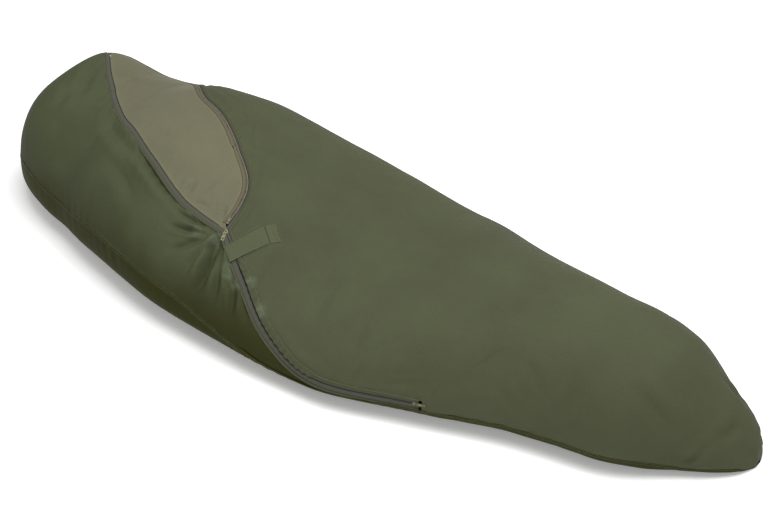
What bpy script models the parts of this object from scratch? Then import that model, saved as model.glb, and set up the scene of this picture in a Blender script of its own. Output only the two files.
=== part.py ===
"""Bivy sack: a filled-out, mummy-shaped waterproof bag lying on its base, head towards -X, foot towards +X.

Every fabric piece is cut from one body surface. A place on it is (along, angle): along runs from 0 at the
head to 1 at the foot, and angle goes round the section in degrees, 0 at the far side, 90 at the crest,
180 at the near side and 270 at the middle of the floor. Metres, +Z up, origin under the middle of the bag.
"""

import math

import bmesh
import bpy
import numpy as np
from mathutils import Matrix

# Overall size
LENGTH = 2.25
HALF_WIDTH = 0.40  # at the hips, the widest place
HOOD_HEIGHT = 0.375  # of the hood's crest, before the head end rounds off
FOOT_REACH = 0.02  # the foot's floor corner reaches this much further, and this much to the far side
FOOT_SWEEP = 0.025
HEAD_SIDE = 0.02  # how far the head and the foot ends sit towards the far side
FOOT_SIDE = 0.115
# Shares of HALF_WIDTH and of HOOD_HEIGHT, each as (along, share)
WIDTH_SHARES = [(0.0, 0.7125), (0.08, 0.7125), (0.15, 0.7375), (0.22, 0.8375), (0.36, 0.975), (0.47, 1.0),
                (0.58, 0.975), (0.69, 0.8), (0.80, 0.6125), (0.90, 0.525), (0.96, 0.4375), (1.0, 0.4375)]
HEIGHT_SHARES = [(0.0, 1.0), (0.065, 0.995), (0.095, 0.95), (0.135, 0.895), (0.18, 0.905), (0.23, 0.97),
                 (0.28, 0.965), (0.36, 0.85), (0.47, 0.693), (0.58, 0.56), (0.69, 0.627), (0.80, 0.707),
                 (0.90, 0.707), (0.96, 0.56), (1.0, 0.56)]
PEAK_HEIGHT = 0.02  # the mouth's top corner stands up this much, around a place (along, angle)
PEAK_PLACE = (0.078, 65.0)
PEAK_REACH = (0.022, 28.0)
HEAD_ROUND_WIDTH = 0.385  # lengths over which the ends round off, in plan and in height
HEAD_ROUND_HEIGHT = 0.255
HEAD_ROUND_POWER = 2.2
FOOT_ROUND_WIDTH = 0.30
FOOT_ROUND_HEIGHT = 0.365
FOOT_ROUND_POWER = 1.85
SECTION_POWER = 2.3
SIDE_HEIGHT = 0.287  # share of the height at which the section is widest
FLOOR_ANGLE = 50.0  # how far under the widest line the side meets the floor

# Seams, as (along, angle)
TUB_SEAM = [(0.0, 170.0), (0.38, 170.0), (0.57, 186.0), (1.0, 186.0)]
HOOD_RIM = [(0.07, 58), (0.082, 69), (0.108, 82), (0.148, 92.5), (0.204, 104.5), (0.235, 109), (0.27, 114),
            (0.30, 117.5), (0.33, 120.5), (0.355, 122), (0.377, 122.2), (0.395, 122), (0.409, 121.8)]
BODY_RIM = [(0.07, 58), (0.085, 51), (0.11, 45), (0.14, 44.5), (0.168, 47.5), (0.195, 57), (0.22, 67.5),
            (0.247, 76), (0.275, 80), (0.305, 84.5),
            (0.33, 88.5), (0.355, 92), (0.38, 97), (0.3935, 102), (0.4015, 108), (0.406, 114), (0.4075, 117.5),
            (0.409, 121.8)]
ZIP_LINE = [(0.409, 121.8), (0.431, 127.5), (0.45, 132.6), (0.472, 139), (0.506, 151.4), (0.538, 161.8),
            (0.569, 170.5), (0.606, 174.5), (0.65, 176), (0.70, 177)]
RIM_STATIONS = 26
HEAD_SEAM = ((0.035, 10.0), (0.060, 55.5))  # from the tub seam on the far side up to the mouth's tip

# Fabric and seams
FABRIC = 0.001
SEAM_GAP = 0.001
TRIM_GAP = 0.0004
PANEL_TRIM_GAP = 0.0013
SEAM_TAPE_WIDTH = 0.022
SEAM_TAPE = 0.0004
SEAM_TAPE_DEPTH = 0.0028
FLAP = 0.0008
FLAP_GAP = 0.0007  # between a flap and the panel under it

# Zips
COIL_RADIUS = 0.0009
COIL_HALF_SPAN = 0.00145
TAPE = 0.0006
HOOD_TAPE_EDGE = 0.0142
BODY_TAPE_EDGE = 0.0092
ZIP_DEPTH = 0.001
NET_COIL_RADIUS = 0.0006
NET_COIL_HALF_SPAN = 0.00095
NET_TAPE_WIDTH = 0.0026
NET_HEM = 0.009
STOP = (0.004, 0.0058, 0.0028)
STOP_ROOM = 0.007
STOP_GAP = 0.0012
TOP_STOP_GAP = 0.008
SLIDER = (0.016, 0.011, 0.0009)
SLIDER_WEB = 0.0005
HEAD_SLIDER_AHEAD = 0.007  # from the fork where the coils meet to the slider's middle
SLIDER_CLEARANCE = 0.0005
BAIL_RADIUS = 0.0032
BAIL_WIRE = 0.0006
PULLER = (0.030, 0.0092, 0.0012)
PULLER_BAR = 0.0014
PULLER_WINDOW = (0.0056, 0.0064)
PULLER_HOLE = 0.0021
HEAD_PULLER_TURN = 34.0
FOOT_SLIDER_SCALE = 0.8
NET_SLIDER_SCALE = 0.6

# Tab over the zip, as (along, angle) corners: free end first, then the stitch line, then the sewn end
TAB_FREE = ((0.4235, 129.5), (0.4405, 134.0))
TAB_STITCH = ((0.440, 110.5), (0.4605, 115.5))
TAB_END = ((0.4475, 107.0), (0.4685, 112.0))
TAB_LIFT = 0.0040
TAB_AT_STITCH = 0.0018
PATCH = 0.0006

COLLECTION = "bivy_sack"


def smooth_line(points, at):
    """A curve through the points that never swings past them."""
    x, y = np.array(points, float).T
    step = np.diff(x)
    slope = np.diff(y) / step
    tangent = np.concatenate([slope[:1], np.zeros(len(x) - 2), slope[-1:]])
    turning = slope[:-1] * slope[1:] <= 0
    total = np.where(turning, 1.0, slope[:-1] + slope[1:])
    tangent[1:-1] = np.where(turning, 0.0, 2 * slope[:-1] * slope[1:] / total)
    at = np.clip(at, x[0], x[-1])
    k = np.clip(np.searchsorted(x, at) - 1, 0, len(step) - 1)
    t = (at - x[k]) / step[k]
    start = (1 + 2 * t) * (1 - t) ** 2 * y[k] + t * (1 - t) ** 2 * step[k] * tangent[k]
    return start + t * t * (3 - 2 * t) * y[k + 1] + t * t * (t - 1) * step[k] * tangent[k + 1]


def rounded(distance, length, power):
    """0 at an end and 1 once it has rounded off."""
    share = np.clip(distance / length, 0, 1)
    return (1 - (1 - share) ** power) ** (1 / power)


def signed_power(value, power):
    return np.sign(value) * np.abs(value) ** power


def raw_surface(along, angle):
    along, angle = np.broadcast_arrays(np.asarray(along, float), np.asarray(angle, float))
    from_head = along * LENGTH
    from_foot = (1 - along) * LENGTH
    width = HALF_WIDTH * smooth_line(WIDTH_SHARES, along)
    width = width * rounded(from_head, HEAD_ROUND_WIDTH, HEAD_ROUND_POWER)
    width = width * rounded(from_foot, FOOT_ROUND_WIDTH, FOOT_ROUND_POWER)
    height = HOOD_HEIGHT * smooth_line(HEIGHT_SHARES, along)
    height = height * rounded(from_head, HEAD_ROUND_HEIGHT, HEAD_ROUND_POWER)
    height = height * rounded(from_foot, FOOT_ROUND_HEIGHT, FOOT_ROUND_POWER)
    floor = FLOOR_ANGLE
    turn = np.radians(angle)
    shape = 2 / SECTION_POWER
    across = signed_power(np.cos(turn), shape)
    above = SIDE_HEIGHT + (1 - SIDE_HEIGHT) * np.abs(np.sin(turn)) ** shape
    below = SIDE_HEIGHT * (1 - np.abs(np.sin(turn)) / math.sin(math.radians(floor)))
    up = np.where(np.sin(turn) >= 0, above, below)
    on_floor = (angle > 180 + floor) & (angle < 360 - floor)
    floor_edge = math.cos(math.radians(floor)) ** shape
    across = np.where(on_floor, floor_edge * (angle - 270) / (90 - floor), across)
    up = np.where(on_floor, 0.0, up)
    late = np.clip((along - 0.88) / 0.12, 0, 1)
    late = late * late * (3 - 2 * late)
    middle = HEAD_SIDE * (1 - along) ** 2 + FOOT_SIDE * along ** 2 + FOOT_SWEEP * late
    x = from_head + FOOT_REACH * late
    peak = np.exp(-((along - PEAK_PLACE[0]) / PEAK_REACH[0]) ** 2 - ((angle - PEAK_PLACE[1]) / PEAK_REACH[1]) ** 2)
    return np.stack([x, middle + width * across, height * up + PEAK_HEIGHT * peak], axis=-1)


def surface_centre():
    """The middle of the bag's own bounds on the ground, which becomes the origin."""
    along = np.linspace(0, 1, 401)
    sides = np.concatenate([raw_surface(along, 0.0), raw_surface(along, 180.0)])
    middle = (sides.min(axis=0) + sides.max(axis=0)) / 2
    return np.array([middle[0], middle[1], 0.0])


CENTRE = surface_centre()


def slopes(along, angle):
    """How the surface moves with along and with angle, and its outward normal."""
    step_along, step_angle = 1e-4, 0.02
    back, ahead = np.maximum(along - step_along, 0), np.minimum(along + step_along, 1)
    by_along = raw_surface(ahead, angle) - raw_surface(back, angle)
    by_along = by_along / (ahead - back)[..., None]
    by_angle = raw_surface(along, angle + step_angle) - raw_surface(along, angle - step_angle)
    by_angle = by_angle / (2 * step_angle)
    normal = np.cross(by_angle, by_along)
    normal = normal / np.maximum(np.linalg.norm(normal, axis=-1, keepdims=True), 1e-12)
    return by_along, by_angle, normal


def surface(along, angle, height=0.0):
    """Points on the bag's outside, or this much above it."""
    along, angle = np.broadcast_arrays(np.asarray(along, float), np.asarray(angle, float))
    points = raw_surface(along, angle) - CENTRE
    if np.any(height):
        points = points + slopes(along, angle)[2] * np.asarray(height)[..., None]
    return points


def offset(line, side):
    """The line of (along, angle) moved sideways over the surface, towards the far side where side is positive."""
    along, angle = line.T
    by_along, by_angle, normal = slopes(along, angle)
    tangent = np.gradient(raw_surface(along, angle), axis=0)
    across = np.cross(normal, tangent)
    across = across / np.linalg.norm(across, axis=-1, keepdims=True) * np.asarray(side)
    a, b, c = ((p * q).sum(axis=1) for p, q in ((by_along, by_along), (by_along, by_angle), (by_angle, by_angle)))
    d, e = (by_along * across).sum(axis=1), (by_angle * across).sum(axis=1)
    scale = a * c - b * b
    return np.stack([along + (c * d - b * e) / scale, angle + (a * e - b * d) / scale], axis=1)


def rim(points):
    """A mouth rim's stations, closer together towards the slider."""
    points = np.array(points, float)
    length = np.concatenate([[0], np.cumsum(np.linalg.norm(np.diff(surface(*points.T), axis=0), axis=1))])
    share = (1 - (1 - np.linspace(0, 1, RIM_STATIONS)) ** 1.3) * length[-1]
    return np.stack([smooth_line(np.stack([length, column], axis=1), share) for column in points.T], axis=1)


def zip_chain():
    """The closed zip's stations. The first and last stretches stay single straight lines, for the sliders."""
    points = np.array(ZIP_LINE, float)
    between = (points[1:-2] + points[2:-1]) / 2
    between[:, 1] = smooth_line(ZIP_LINE, between[:, 0])
    rows = np.concatenate([points, between])
    return rows[np.argsort(rows[:, 0])][1:]


CHAIN = zip_chain()
HOOD_LINE = np.concatenate([rim(HOOD_RIM), CHAIN])
BODY_LINE = np.concatenate([rim(BODY_RIM), CHAIN])
FORK = RIM_STATIONS - 1
ENDS = (0.0001, 0.9996)


def material(name, colour, roughness, metallic=0.0):
    made = bpy.data.materials.new(name)
    made.use_nodes = True
    shader = made.node_tree.nodes["Principled BSDF"]
    shader.inputs["Base Color"].default_value = (*colour, 1.0)
    shader.inputs["Roughness"].default_value = roughness
    shader.inputs["Metallic"].default_value = metallic
    made.diffuse_color = (*colour, 1.0)
    return made


def add(name, data, paint):
    made = bpy.data.objects.new(name, data)
    bpy.data.collections[COLLECTION].objects.link(made)
    data.materials.append(material(name, *paint))
    return made


def mesh_from(shape, smooth=True):
    data = bpy.data.meshes.new("shape")
    shape.to_mesh(data)
    shape.free()
    for face in data.polygons:
        face.use_smooth = smooth
    return data


def sheet(name, points, thickness, paint):
    """A fabric piece: a grid laid through rows of points on its outside, thickened inwards."""
    rows, columns = points.shape[:2]
    shape = bmesh.new()
    bmesh.ops.create_grid(shape, x_segments=rows - 1, y_segments=columns - 1, size=1)
    for vertex in shape.verts:
        i = round((vertex.co.x + 1) / 2 * (rows - 1))
        j = round((vertex.co.y + 1) / 2 * (columns - 1))
        vertex.co = points[i, j]
    made = add(name, mesh_from(shape), paint)
    skin = made.modifiers.new("thickness", "SOLIDIFY")
    skin.thickness = thickness
    skin.offset = -1
    return made


def between(first, second, shares, height=0.0):
    """Rows of points from one edge line to the other. Rows run along the edges."""
    shares = np.asarray(shares, float)[None, :, None]
    grid = first[:, None, :] * (1 - shares) + second[:, None, :] * shares
    return surface(grid[..., 0], grid[..., 1], height)


def strip(name, line, inner, outer, thickness, height, paint, columns=2):
    """A band that follows a line, from one sideways distance to the other."""
    low, high = offset(line, min(inner, outer)), offset(line, max(inner, outer))
    shares = np.linspace(0, 1, columns)
    return sheet(name, between(low, high, shares, height), thickness, paint)


def strand(name, line, side, height, radius, paint):
    """A zip's coil as one plain round strand."""
    curve = bpy.data.curves.new("strand", "CURVE")
    curve.dimensions = "3D"
    curve.bevel_depth = radius
    curve.bevel_resolution = 1
    curve.use_fill_caps = True
    moved = offset(line, side)
    points = surface(moved[:, 0], moved[:, 1], height)
    spline = curve.splines.new("POLY")
    spline.points.add(len(points) - 1)
    for point, place in zip(spline.points, points):
        point.co = (*place, 1.0)
    return add(name, curve, paint)


GREEN = ((0.103, 0.114, 0.065), 0.62)
HOOD_GREEN = ((0.078, 0.085, 0.048), 0.6)
TUB = ((0.045, 0.048, 0.02), 0.65)
TAN = ((0.17, 0.163, 0.098), 0.7)
TAPE_GREY = ((0.12, 0.13, 0.11), 0.8)
COIL_GREY = ((0.035, 0.038, 0.033), 0.5)
LIGHT_COIL = ((0.16, 0.16, 0.11), 0.5)
METAL = ((0.5, 0.5, 0.46), 0.35, 1.0)
PATCH_GREEN = ((0.05, 0.056, 0.032), 0.95)

WALL_ROWS = np.array([0, 0.04, 0.14, 0.3, 0.48, 0.66, 0.82, 0.94, 1.0])


def tub_line(along, side):
    """The seam between the tub and the walls: near side at 170 to 186 degrees, far side its mirror."""
    near = smooth_line(TUB_SEAM, along)
    return np.stack([along, near if side == "near" else 180 - near], axis=1)


def seam_stations():
    """Along-values shared by the pieces that meet at the tub seam, near side and far side."""
    seam_start, seam_end = HEAD_SEAM[0][0], HEAD_SEAM[1][0]
    cap = ENDS[0] + (seam_start - ENDS[0]) * np.linspace(0, 1, 7) ** 2
    seam = np.linspace(seam_start, seam_end, 4)
    wall = np.linspace(seam_end, CHAIN[-1, 0], len(HOOD_LINE) + 1)[1:]
    hood_near = np.concatenate([cap[:-1], seam, wall])
    body_near = CHAIN[-1, 0] + (ENDS[1] - CHAIN[-1, 0]) * np.sin(np.linspace(0, math.pi / 2, 15))
    count = len(BODY_LINE) + 2 + len(body_near)
    body_far = seam_start + (ENDS[1] - seam_start) * np.sin(np.linspace(0, math.pi / 2, count))
    return cap, hood_near, body_near, body_far


def hood_panel():
    """Head end and near wall, up to the zip and the mouth's near rim."""
    cap, hood_near, _, _ = seam_stations()
    lower = offset(tub_line(hood_near, "near"), SEAM_GAP / 2)
    far = offset(tub_line(cap[:-1], "far"), -SEAM_GAP / 2)
    start, end = (np.array(point) for point in HEAD_SEAM)
    start[1] = far[-1, 1]
    seam = start + (end - start) * np.linspace(0, 1, 4)[:, None] - (SEAM_GAP / LENGTH, 0)
    zip_edge = offset(HOOD_LINE, -(HOOD_TAPE_EDGE + PANEL_TRIM_GAP))
    upper = np.concatenate([far, seam, zip_edge])
    return sheet("hood_panel", between(lower, upper, WALL_ROWS), FABRIC, HOOD_GREEN)


def body_panel():
    """Top of the bag from the mouth's far rim and the zip to the foot."""
    _, _, body_near, body_far = seam_stations()
    zip_edge = offset(BODY_LINE, BODY_TAPE_EDGE + PANEL_TRIM_GAP)
    corner = np.array([HEAD_SEAM[1]]) + (SEAM_GAP / LENGTH, 0)
    low = offset(tub_line(body_near, "near"), SEAM_GAP / 2)
    past_stop = zip_edge[-1:] + (STOP_ROOM / LENGTH, 0)
    low[0, 0] += STOP_ROOM / LENGTH
    near = np.concatenate([corner, zip_edge, past_stop, low])
    far = offset(tub_line(body_far, "far"), -SEAM_GAP / 2)
    far[:, 0] = np.maximum(far[:, 0], HEAD_SEAM[0][0] + SEAM_GAP / LENGTH)
    return sheet("top_panel", between(near, far, WALL_ROWS), FABRIC, GREEN)


def base_panel():
    """The tub: floor and the lowest part of the walls in one piece."""
    cap, hood_near, body_near, body_far = seam_stations()
    near_along = np.concatenate([hood_near, body_near])
    halves = (cap[-3:-1] + cap[-2:]) / 2
    far_along = np.sort(np.concatenate([cap[:-1], halves, body_far]))
    near = offset(tub_line(near_along, "near"), -SEAM_GAP / 2)
    far = offset(tub_line(far_along, "far"), SEAM_GAP / 2)
    corner = np.full(len(near), 180 + FLOOR_ANGLE)
    columns = []
    for share in (0, 0.1, 0.25, 0.5, 0.75, 1.0):
        columns.append(near * (1 - share) + np.stack([near[:, 0], corner], axis=1) * share)
    for share in (0.25, 0.5, 0.75):
        along = near[:, 0] * (1 - share) + far[:, 0] * share
        columns.append(np.stack([along, corner + share * (180 - 2 * FLOOR_ANGLE)], axis=1))
    far_corner = np.stack([far[:, 0], 540 - corner], axis=1)
    far_round = np.stack([far[:, 0], far[:, 1] + 360], axis=1)
    for share in (0, 0.25, 0.5, 0.75, 0.9, 1.0):
        columns.append(far_corner * (1 - share) + far_round * share)
    grid = np.stack(columns, axis=1)[:, ::-1]
    return sheet("base_panel", surface(grid[..., 0], grid[..., 1]), FABRIC, TUB)


def net_edges():
    """Stations of the net's two long edges, clear of the mouth's narrow ends. The far edge ends in a straight."""
    far = np.concatenate([BODY_LINE[1 : FORK - 2], BODY_LINE[FORK - 1 : FORK]])
    near = HOOD_LINE[1 : len(far) + 1]
    return near, far


def net_parts():
    near, far = net_edges()
    tape_in = TRIM_GAP + NET_TAPE_WIDTH
    chain = tape_in + TRIM_GAP + NET_COIL_RADIUS + NET_COIL_HALF_SPAN
    hem_out = chain + NET_COIL_HALF_SPAN + NET_COIL_RADIUS + TRIM_GAP
    hem_in = hem_out + NET_HEM
    strip("net_zip_tape", far, -tape_in, -TRIM_GAP, TAPE, -ZIP_DEPTH + TAPE / 2, LIGHT_COIL)
    for name, side in (("net_coil_outer", -chain + NET_COIL_HALF_SPAN), ("net_coil_inner", -chain - NET_COIL_HALF_SPAN)):
        strand(name, far, side, -ZIP_DEPTH, NET_COIL_RADIUS, LIGHT_COIL)
    strip("net_hem", far, -hem_in, -hem_out, FABRIC, -ZIP_DEPTH + FABRIC / 2, TAN)
    left = offset(near, TRIM_GAP)
    right = offset(far, -(hem_in + TRIM_GAP))
    points = between(left, right, np.linspace(0, 1, 8), -ZIP_DEPTH + FABRIC / 2)
    sheet("insect_net", points, FABRIC, TAN)
    return chain


def zip_parts():
    height = -ZIP_DEPTH + TAPE / 2
    inner = COIL_HALF_SPAN + COIL_RADIUS + TRIM_GAP
    strip("zip_tape_hood", HOOD_LINE, -HOOD_TAPE_EDGE, -inner, TAPE, height, TAPE_GREY)
    strip("zip_tape_body", BODY_LINE, inner, BODY_TAPE_EDGE, TAPE, height, TAPE_GREY)
    strand("zip_coil_hood", HOOD_LINE, -COIL_HALF_SPAN, -ZIP_DEPTH, COIL_RADIUS, COIL_GREY)
    strand("zip_coil_body", BODY_LINE, COIL_HALF_SPAN, -ZIP_DEPTH, COIL_RADIUS, COIL_GREY)


def storm_flap():
    """A narrow flap over the body side of the closed zip, from the tab to where the zip turns level."""
    line = CHAIN[(CHAIN[:, 0] > 0.445) & (CHAIN[:, 0] < 0.59)]
    strip("storm_flap", line, 0.0027, 0.020, FLAP, FLAP_GAP + FLAP, GREEN, columns=3)


def seam_tapes():
    """Waterproof tapes inside the tub seam, one each side."""
    height = -(FABRIC + SEAM_TAPE_DEPTH)
    for side, start in (("near", 0.03), ("far", 0.08)):
        along = np.linspace(start, 0.94, 60)
        line = tub_line(along, side)
        half = SEAM_TAPE_WIDTH / 2
        strip("seam_tape_" + side, line, -half, half, SEAM_TAPE, height, TUB, columns=3)


def quad_sheet(name, ends, heights, thickness, paint, columns=5):
    """A flat strip between two pairs of corners, following the surface at the given heights."""
    (a, b), (c, d) = (np.array(pair, float) for pair in ends)
    across = np.linspace(0, 1, 3)[:, None, None]
    share = np.linspace(0, 1, columns)[None, :, None]
    grid = (a * (1 - across) + b * across) * (1 - share) + (c * (1 - across) + d * across) * share
    height = heights[0] * (1 - share[..., 0]) + heights[1] * share[..., 0] + 0 * grid[..., 0]
    return sheet(name, surface(grid[..., 0], grid[..., 1], height), thickness, paint)


def part_way(pair, other, share):
    return tuple(tuple(p * (1 - share) + q * share for p, q in zip(first, second))
                 for first, second in zip(pair, other))


def inset(pair, share=0.12):
    """A pair of corners moved towards each other."""
    first, second = pair
    return part_way((first, second), (second, first), share)


def tab_parts():
    """The strap that lies over the zip, its sewn end, and the hook and loop patches that hold it."""
    quad_sheet("zip_tab", (TAB_FREE, part_way(TAB_STITCH, TAB_FREE, 0.01)),
               (TAB_LIFT + FLAP, TAB_AT_STITCH + FLAP / 2), FLAP, GREEN, columns=7)
    quad_sheet("tab_sewn_end", (part_way(TAB_STITCH, TAB_END, 0.08), TAB_END),
               (FLAP_GAP + FLAP, FLAP_GAP + FLAP), FLAP, GREEN, columns=3)
    low, high = part_way(TAB_FREE, TAB_STITCH, 0.40), part_way(TAB_FREE, TAB_STITCH, 0.66)
    ends = (inset(low), inset(high))
    under = [TAB_LIFT * (1 - s) + (TAB_AT_STITCH - FLAP / 2) * s - 0.0005 for s in (0.40, 0.66)]
    quad_sheet("tab_hook_patch", ends, under, PATCH, PATCH_GREEN, columns=3)
    quad_sheet("tab_loop_patch", ends, (0.0007, 0.0007), 0.0004, PATCH_GREEN, columns=3)


def place(line, station, ahead, side=0.0, height=0.0):
    """Frame at a distance after a station of a line: columns are travel, far-side and outward directions."""
    moved = offset(line, side)
    first, second = surface(moved[station : station + 2, 0], moved[station : station + 2, 1], height)
    travel = (second - first) / np.linalg.norm(second - first)
    _, _, normal = slopes(*moved[station : station + 2].mean(axis=0)[:, None])
    normal = normal[0] - travel * (normal[0] @ travel)
    normal = normal / np.linalg.norm(normal)
    across = np.cross(normal, travel)
    frame = np.eye(4)
    frame[:3] = np.stack([travel, across, normal, first + travel * ahead], axis=1)
    return Matrix(frame.tolist())


def box(shape, size, centre):
    bmesh.ops.create_cube(shape, size=1, matrix=Matrix.Translation(centre) @ Matrix.Diagonal((*size, 1)))


def solid(name, boxes, paint, frame):
    """One body from overlapping boxes."""
    first, others = boxes[0], boxes[1:]
    shape = bmesh.new()
    box(shape, *first)
    made = add(name, mesh_from(shape, smooth=False), paint)
    made.matrix_world = frame
    for number, other in enumerate(others):
        shape = bmesh.new()
        box(shape, *other)
        tool = bpy.data.objects.new(f"{name}_add_{number}", mesh_from(shape, smooth=False))
        join(made, tool, frame, "UNION")
    return made


def join(made, tool, frame, operation):
    bpy.data.collections["cutters"].objects.link(tool)
    tool.matrix_world = frame
    tool.hide_render = True
    tool.display_type = "WIRE"
    step = made.modifiers.new(operation.lower(), "BOOLEAN")
    step.operation = operation
    step.solver = "EXACT"
    step.object = tool


def slider(name, frame, scale, coil_radius):
    """Two plates on a thin web between the coils, and a bail for the puller. Origin at the chain's middle."""
    length, width, plate = (scale * v for v in SLIDER)
    reach = coil_radius + SLIDER_CLEARANCE
    gap = reach + plate / 2
    boxes = [((length, width, plate), (0, 0, gap)), ((length, width * 0.9, plate), (0, 0, -gap)),
             ((length * 0.5, SLIDER_WEB * scale, 2 * gap), (-length * 0.2, 0, 0))]
    made = solid(name, boxes, METAL, frame)
    top = reach + plate
    arch = bpy.data.curves.new("bail", "CURVE")
    arch.dimensions = "3D"
    arch.bevel_depth = BAIL_WIRE * scale
    arch.bevel_resolution = 1
    arch.use_fill_caps = True
    spline = arch.splines.new("POLY")
    angles = np.linspace(0, math.pi, 9)
    spline.points.add(len(angles) + 1)
    radius = BAIL_RADIUS * scale
    route = [(radius, 0, -plate / 2)] + [(radius * math.cos(a), 0, radius * math.sin(a)) for a in angles]
    route.append((-radius, 0, -plate / 2))
    for point, (x, y, z) in zip(spline.points, route):
        point.co = (x, y, top + z, 1)
    wire = bpy.data.objects.new(name + "_bail", arch)
    bpy.data.collections["cutters"].objects.link(wire)
    bpy.context.view_layer.update()
    data = bpy.data.meshes.new_from_object(wire.evaluated_get(bpy.context.evaluated_depsgraph_get()))
    bpy.data.objects.remove(wire)
    join(made, bpy.data.objects.new(name + "_bail_add", data), frame, "UNION")
    return top


def puller(name, frame, scale, top, turn):
    """A flat pull with a window round the bail and a hole near its end. Origin on its own swing axis."""
    length, width, thick = (scale * v for v in PULLER)
    window, window_width = (scale * v for v in PULLER_WINDOW)
    bar = PULLER_BAR * scale
    rise = top + 0.0003 + bar / 2
    pivot = frame @ Matrix.Translation((0, 0, rise)) @ Matrix.Rotation(math.radians(turn), 4, "Z")
    side = (width - window_width) / 2
    middle = bar / 2 + window / 2
    plate_length = length - bar / 2 - window
    plate_centre = bar / 2 + window + plate_length / 2
    boxes = [((plate_length, width, thick), (plate_centre, 0, 0)), ((bar, width, thick), (0, 0, 0))]
    for sign in (-1, 1):
        boxes.append(((window + 2 * bar, side, thick), (middle, sign * (width - side) / 2, 0)))
    made = solid(name, boxes, METAL, pivot)
    shape = bmesh.new()
    hole = Matrix.Translation((length - 0.18 * length, 0, 0))
    bmesh.ops.create_cone(shape, cap_ends=True, segments=20, radius1=PULLER_HOLE * scale,
                          radius2=PULLER_HOLE * scale, depth=4 * thick, matrix=hole)
    join(made, bpy.data.objects.new(name + "_hole", mesh_from(shape)), pivot, "DIFFERENCE")
    return pivot


def chord(line, station):
    ends = surface(line[station : station + 2, 0], line[station : station + 2, 1])
    return float(np.linalg.norm(ends[1] - ends[0]))


def sliders(net_chain):
    """Head and foot sliders of the main zip and the net's own small one, each with its puller."""
    turned = Matrix.Rotation(math.pi, 4, "Z")
    head = place(HOOD_LINE, FORK, HEAD_SLIDER_AHEAD, height=-ZIP_DEPTH)
    top = slider("head_slider", head, 1.0, COIL_RADIUS)
    puller("head_puller", head, 1.0, top, -HEAD_PULLER_TURN)
    last = len(HOOD_LINE) - 2
    foot = place(HOOD_LINE, last, chord(HOOD_LINE, last) - SLIDER[0] / 2, height=-ZIP_DEPTH) @ turned
    top = slider("foot_slider", foot, FOOT_SLIDER_SCALE, COIL_RADIUS)
    puller("foot_puller", foot, FOOT_SLIDER_SCALE, top, 180.0)
    _, far = net_edges()
    last = len(far) - 2
    ahead = chord(far, last) - SLIDER[0] * NET_SLIDER_SCALE * 0.6
    net = place(far, last, ahead, side=-net_chain, height=-ZIP_DEPTH) @ turned
    top = slider("net_slider", net, NET_SLIDER_SCALE, NET_COIL_RADIUS)
    puller("net_puller", net, NET_SLIDER_SCALE, top, 0.0)


def stops():
    """Small metal stops across the coils beyond both ends of the chain."""
    past = STOP[0] / 2 + STOP_GAP
    tip = HOOD_LINE[0]
    before_tip = np.stack([tip - (0.01, 0), tip])
    past_top = chord(before_tip, 0) - STOP[0] / 2 - TOP_STOP_GAP
    last = len(HOOD_LINE) - 2
    end = place(HOOD_LINE, last, chord(HOOD_LINE, last) + past, height=-ZIP_DEPTH)
    solid("zip_bottom_stop", [(STOP, (0, 0, 0))], METAL, end)
    solid("zip_top_stop", [(STOP, (0, 0, 0))], METAL, place(before_tip, 0, past_top, height=-ZIP_DEPTH))


def main():
    for old in list(bpy.data.objects):
        bpy.data.objects.remove(old, do_unlink=True)
    for name in (COLLECTION, "cutters"):
        bpy.context.scene.collection.children.link(bpy.data.collections.new(name))
    bpy.data.collections["cutters"].hide_render = True
    hood_panel()
    body_panel()
    base_panel()
    net_chain = net_parts()
    zip_parts()
    storm_flap()
    seam_tapes()
    tab_parts()
    sliders(net_chain)
    stops()


main()
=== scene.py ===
"""Bivy sack, the visual model: folded fabric panels, stitched seams, coil zips and metal sliders.

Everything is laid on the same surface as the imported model. A place on it is (along, angle): along runs
from 0 at the head to 1 at the foot, and angle goes round the section in degrees, 0 at the far side, 90 at
the crest, 180 at the near side and 270 under the bag. Metres, +Z up.
"""

import math

import bmesh
import bpy
import numpy as np
from mathutils import Matrix, Vector, noise


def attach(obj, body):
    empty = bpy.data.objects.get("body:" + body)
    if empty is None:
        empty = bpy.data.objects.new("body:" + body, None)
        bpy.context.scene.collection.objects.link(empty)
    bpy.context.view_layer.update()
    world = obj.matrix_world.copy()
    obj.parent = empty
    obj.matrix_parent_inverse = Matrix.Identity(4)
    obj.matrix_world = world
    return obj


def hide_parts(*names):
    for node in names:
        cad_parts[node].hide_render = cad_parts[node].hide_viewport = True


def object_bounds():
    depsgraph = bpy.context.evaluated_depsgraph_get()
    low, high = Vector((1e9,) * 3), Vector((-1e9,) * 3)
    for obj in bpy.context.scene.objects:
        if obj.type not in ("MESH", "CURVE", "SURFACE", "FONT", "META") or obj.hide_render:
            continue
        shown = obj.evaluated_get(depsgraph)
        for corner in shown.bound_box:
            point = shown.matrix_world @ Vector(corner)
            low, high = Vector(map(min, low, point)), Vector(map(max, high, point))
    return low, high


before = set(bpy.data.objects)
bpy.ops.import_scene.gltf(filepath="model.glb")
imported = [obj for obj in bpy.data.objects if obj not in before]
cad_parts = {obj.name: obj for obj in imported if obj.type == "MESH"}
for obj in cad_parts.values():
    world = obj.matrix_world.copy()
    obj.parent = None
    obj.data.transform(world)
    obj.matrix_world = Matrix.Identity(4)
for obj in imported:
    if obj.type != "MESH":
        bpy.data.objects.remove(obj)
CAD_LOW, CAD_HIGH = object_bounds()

# Overall size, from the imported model's box
FOOT_REACH = 0.02
FOOT_SWEEP = 0.025
LENGTH = round(CAD_HIGH.x - CAD_LOW.x - FOOT_REACH, 2)
HALF_WIDTH = round((CAD_HIGH.y - CAD_LOW.y) / 2, 2)
HOOD_HEIGHT = round(CAD_HIGH.z * 1.028, 3)  # the rounded head end stays this share below it
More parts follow.
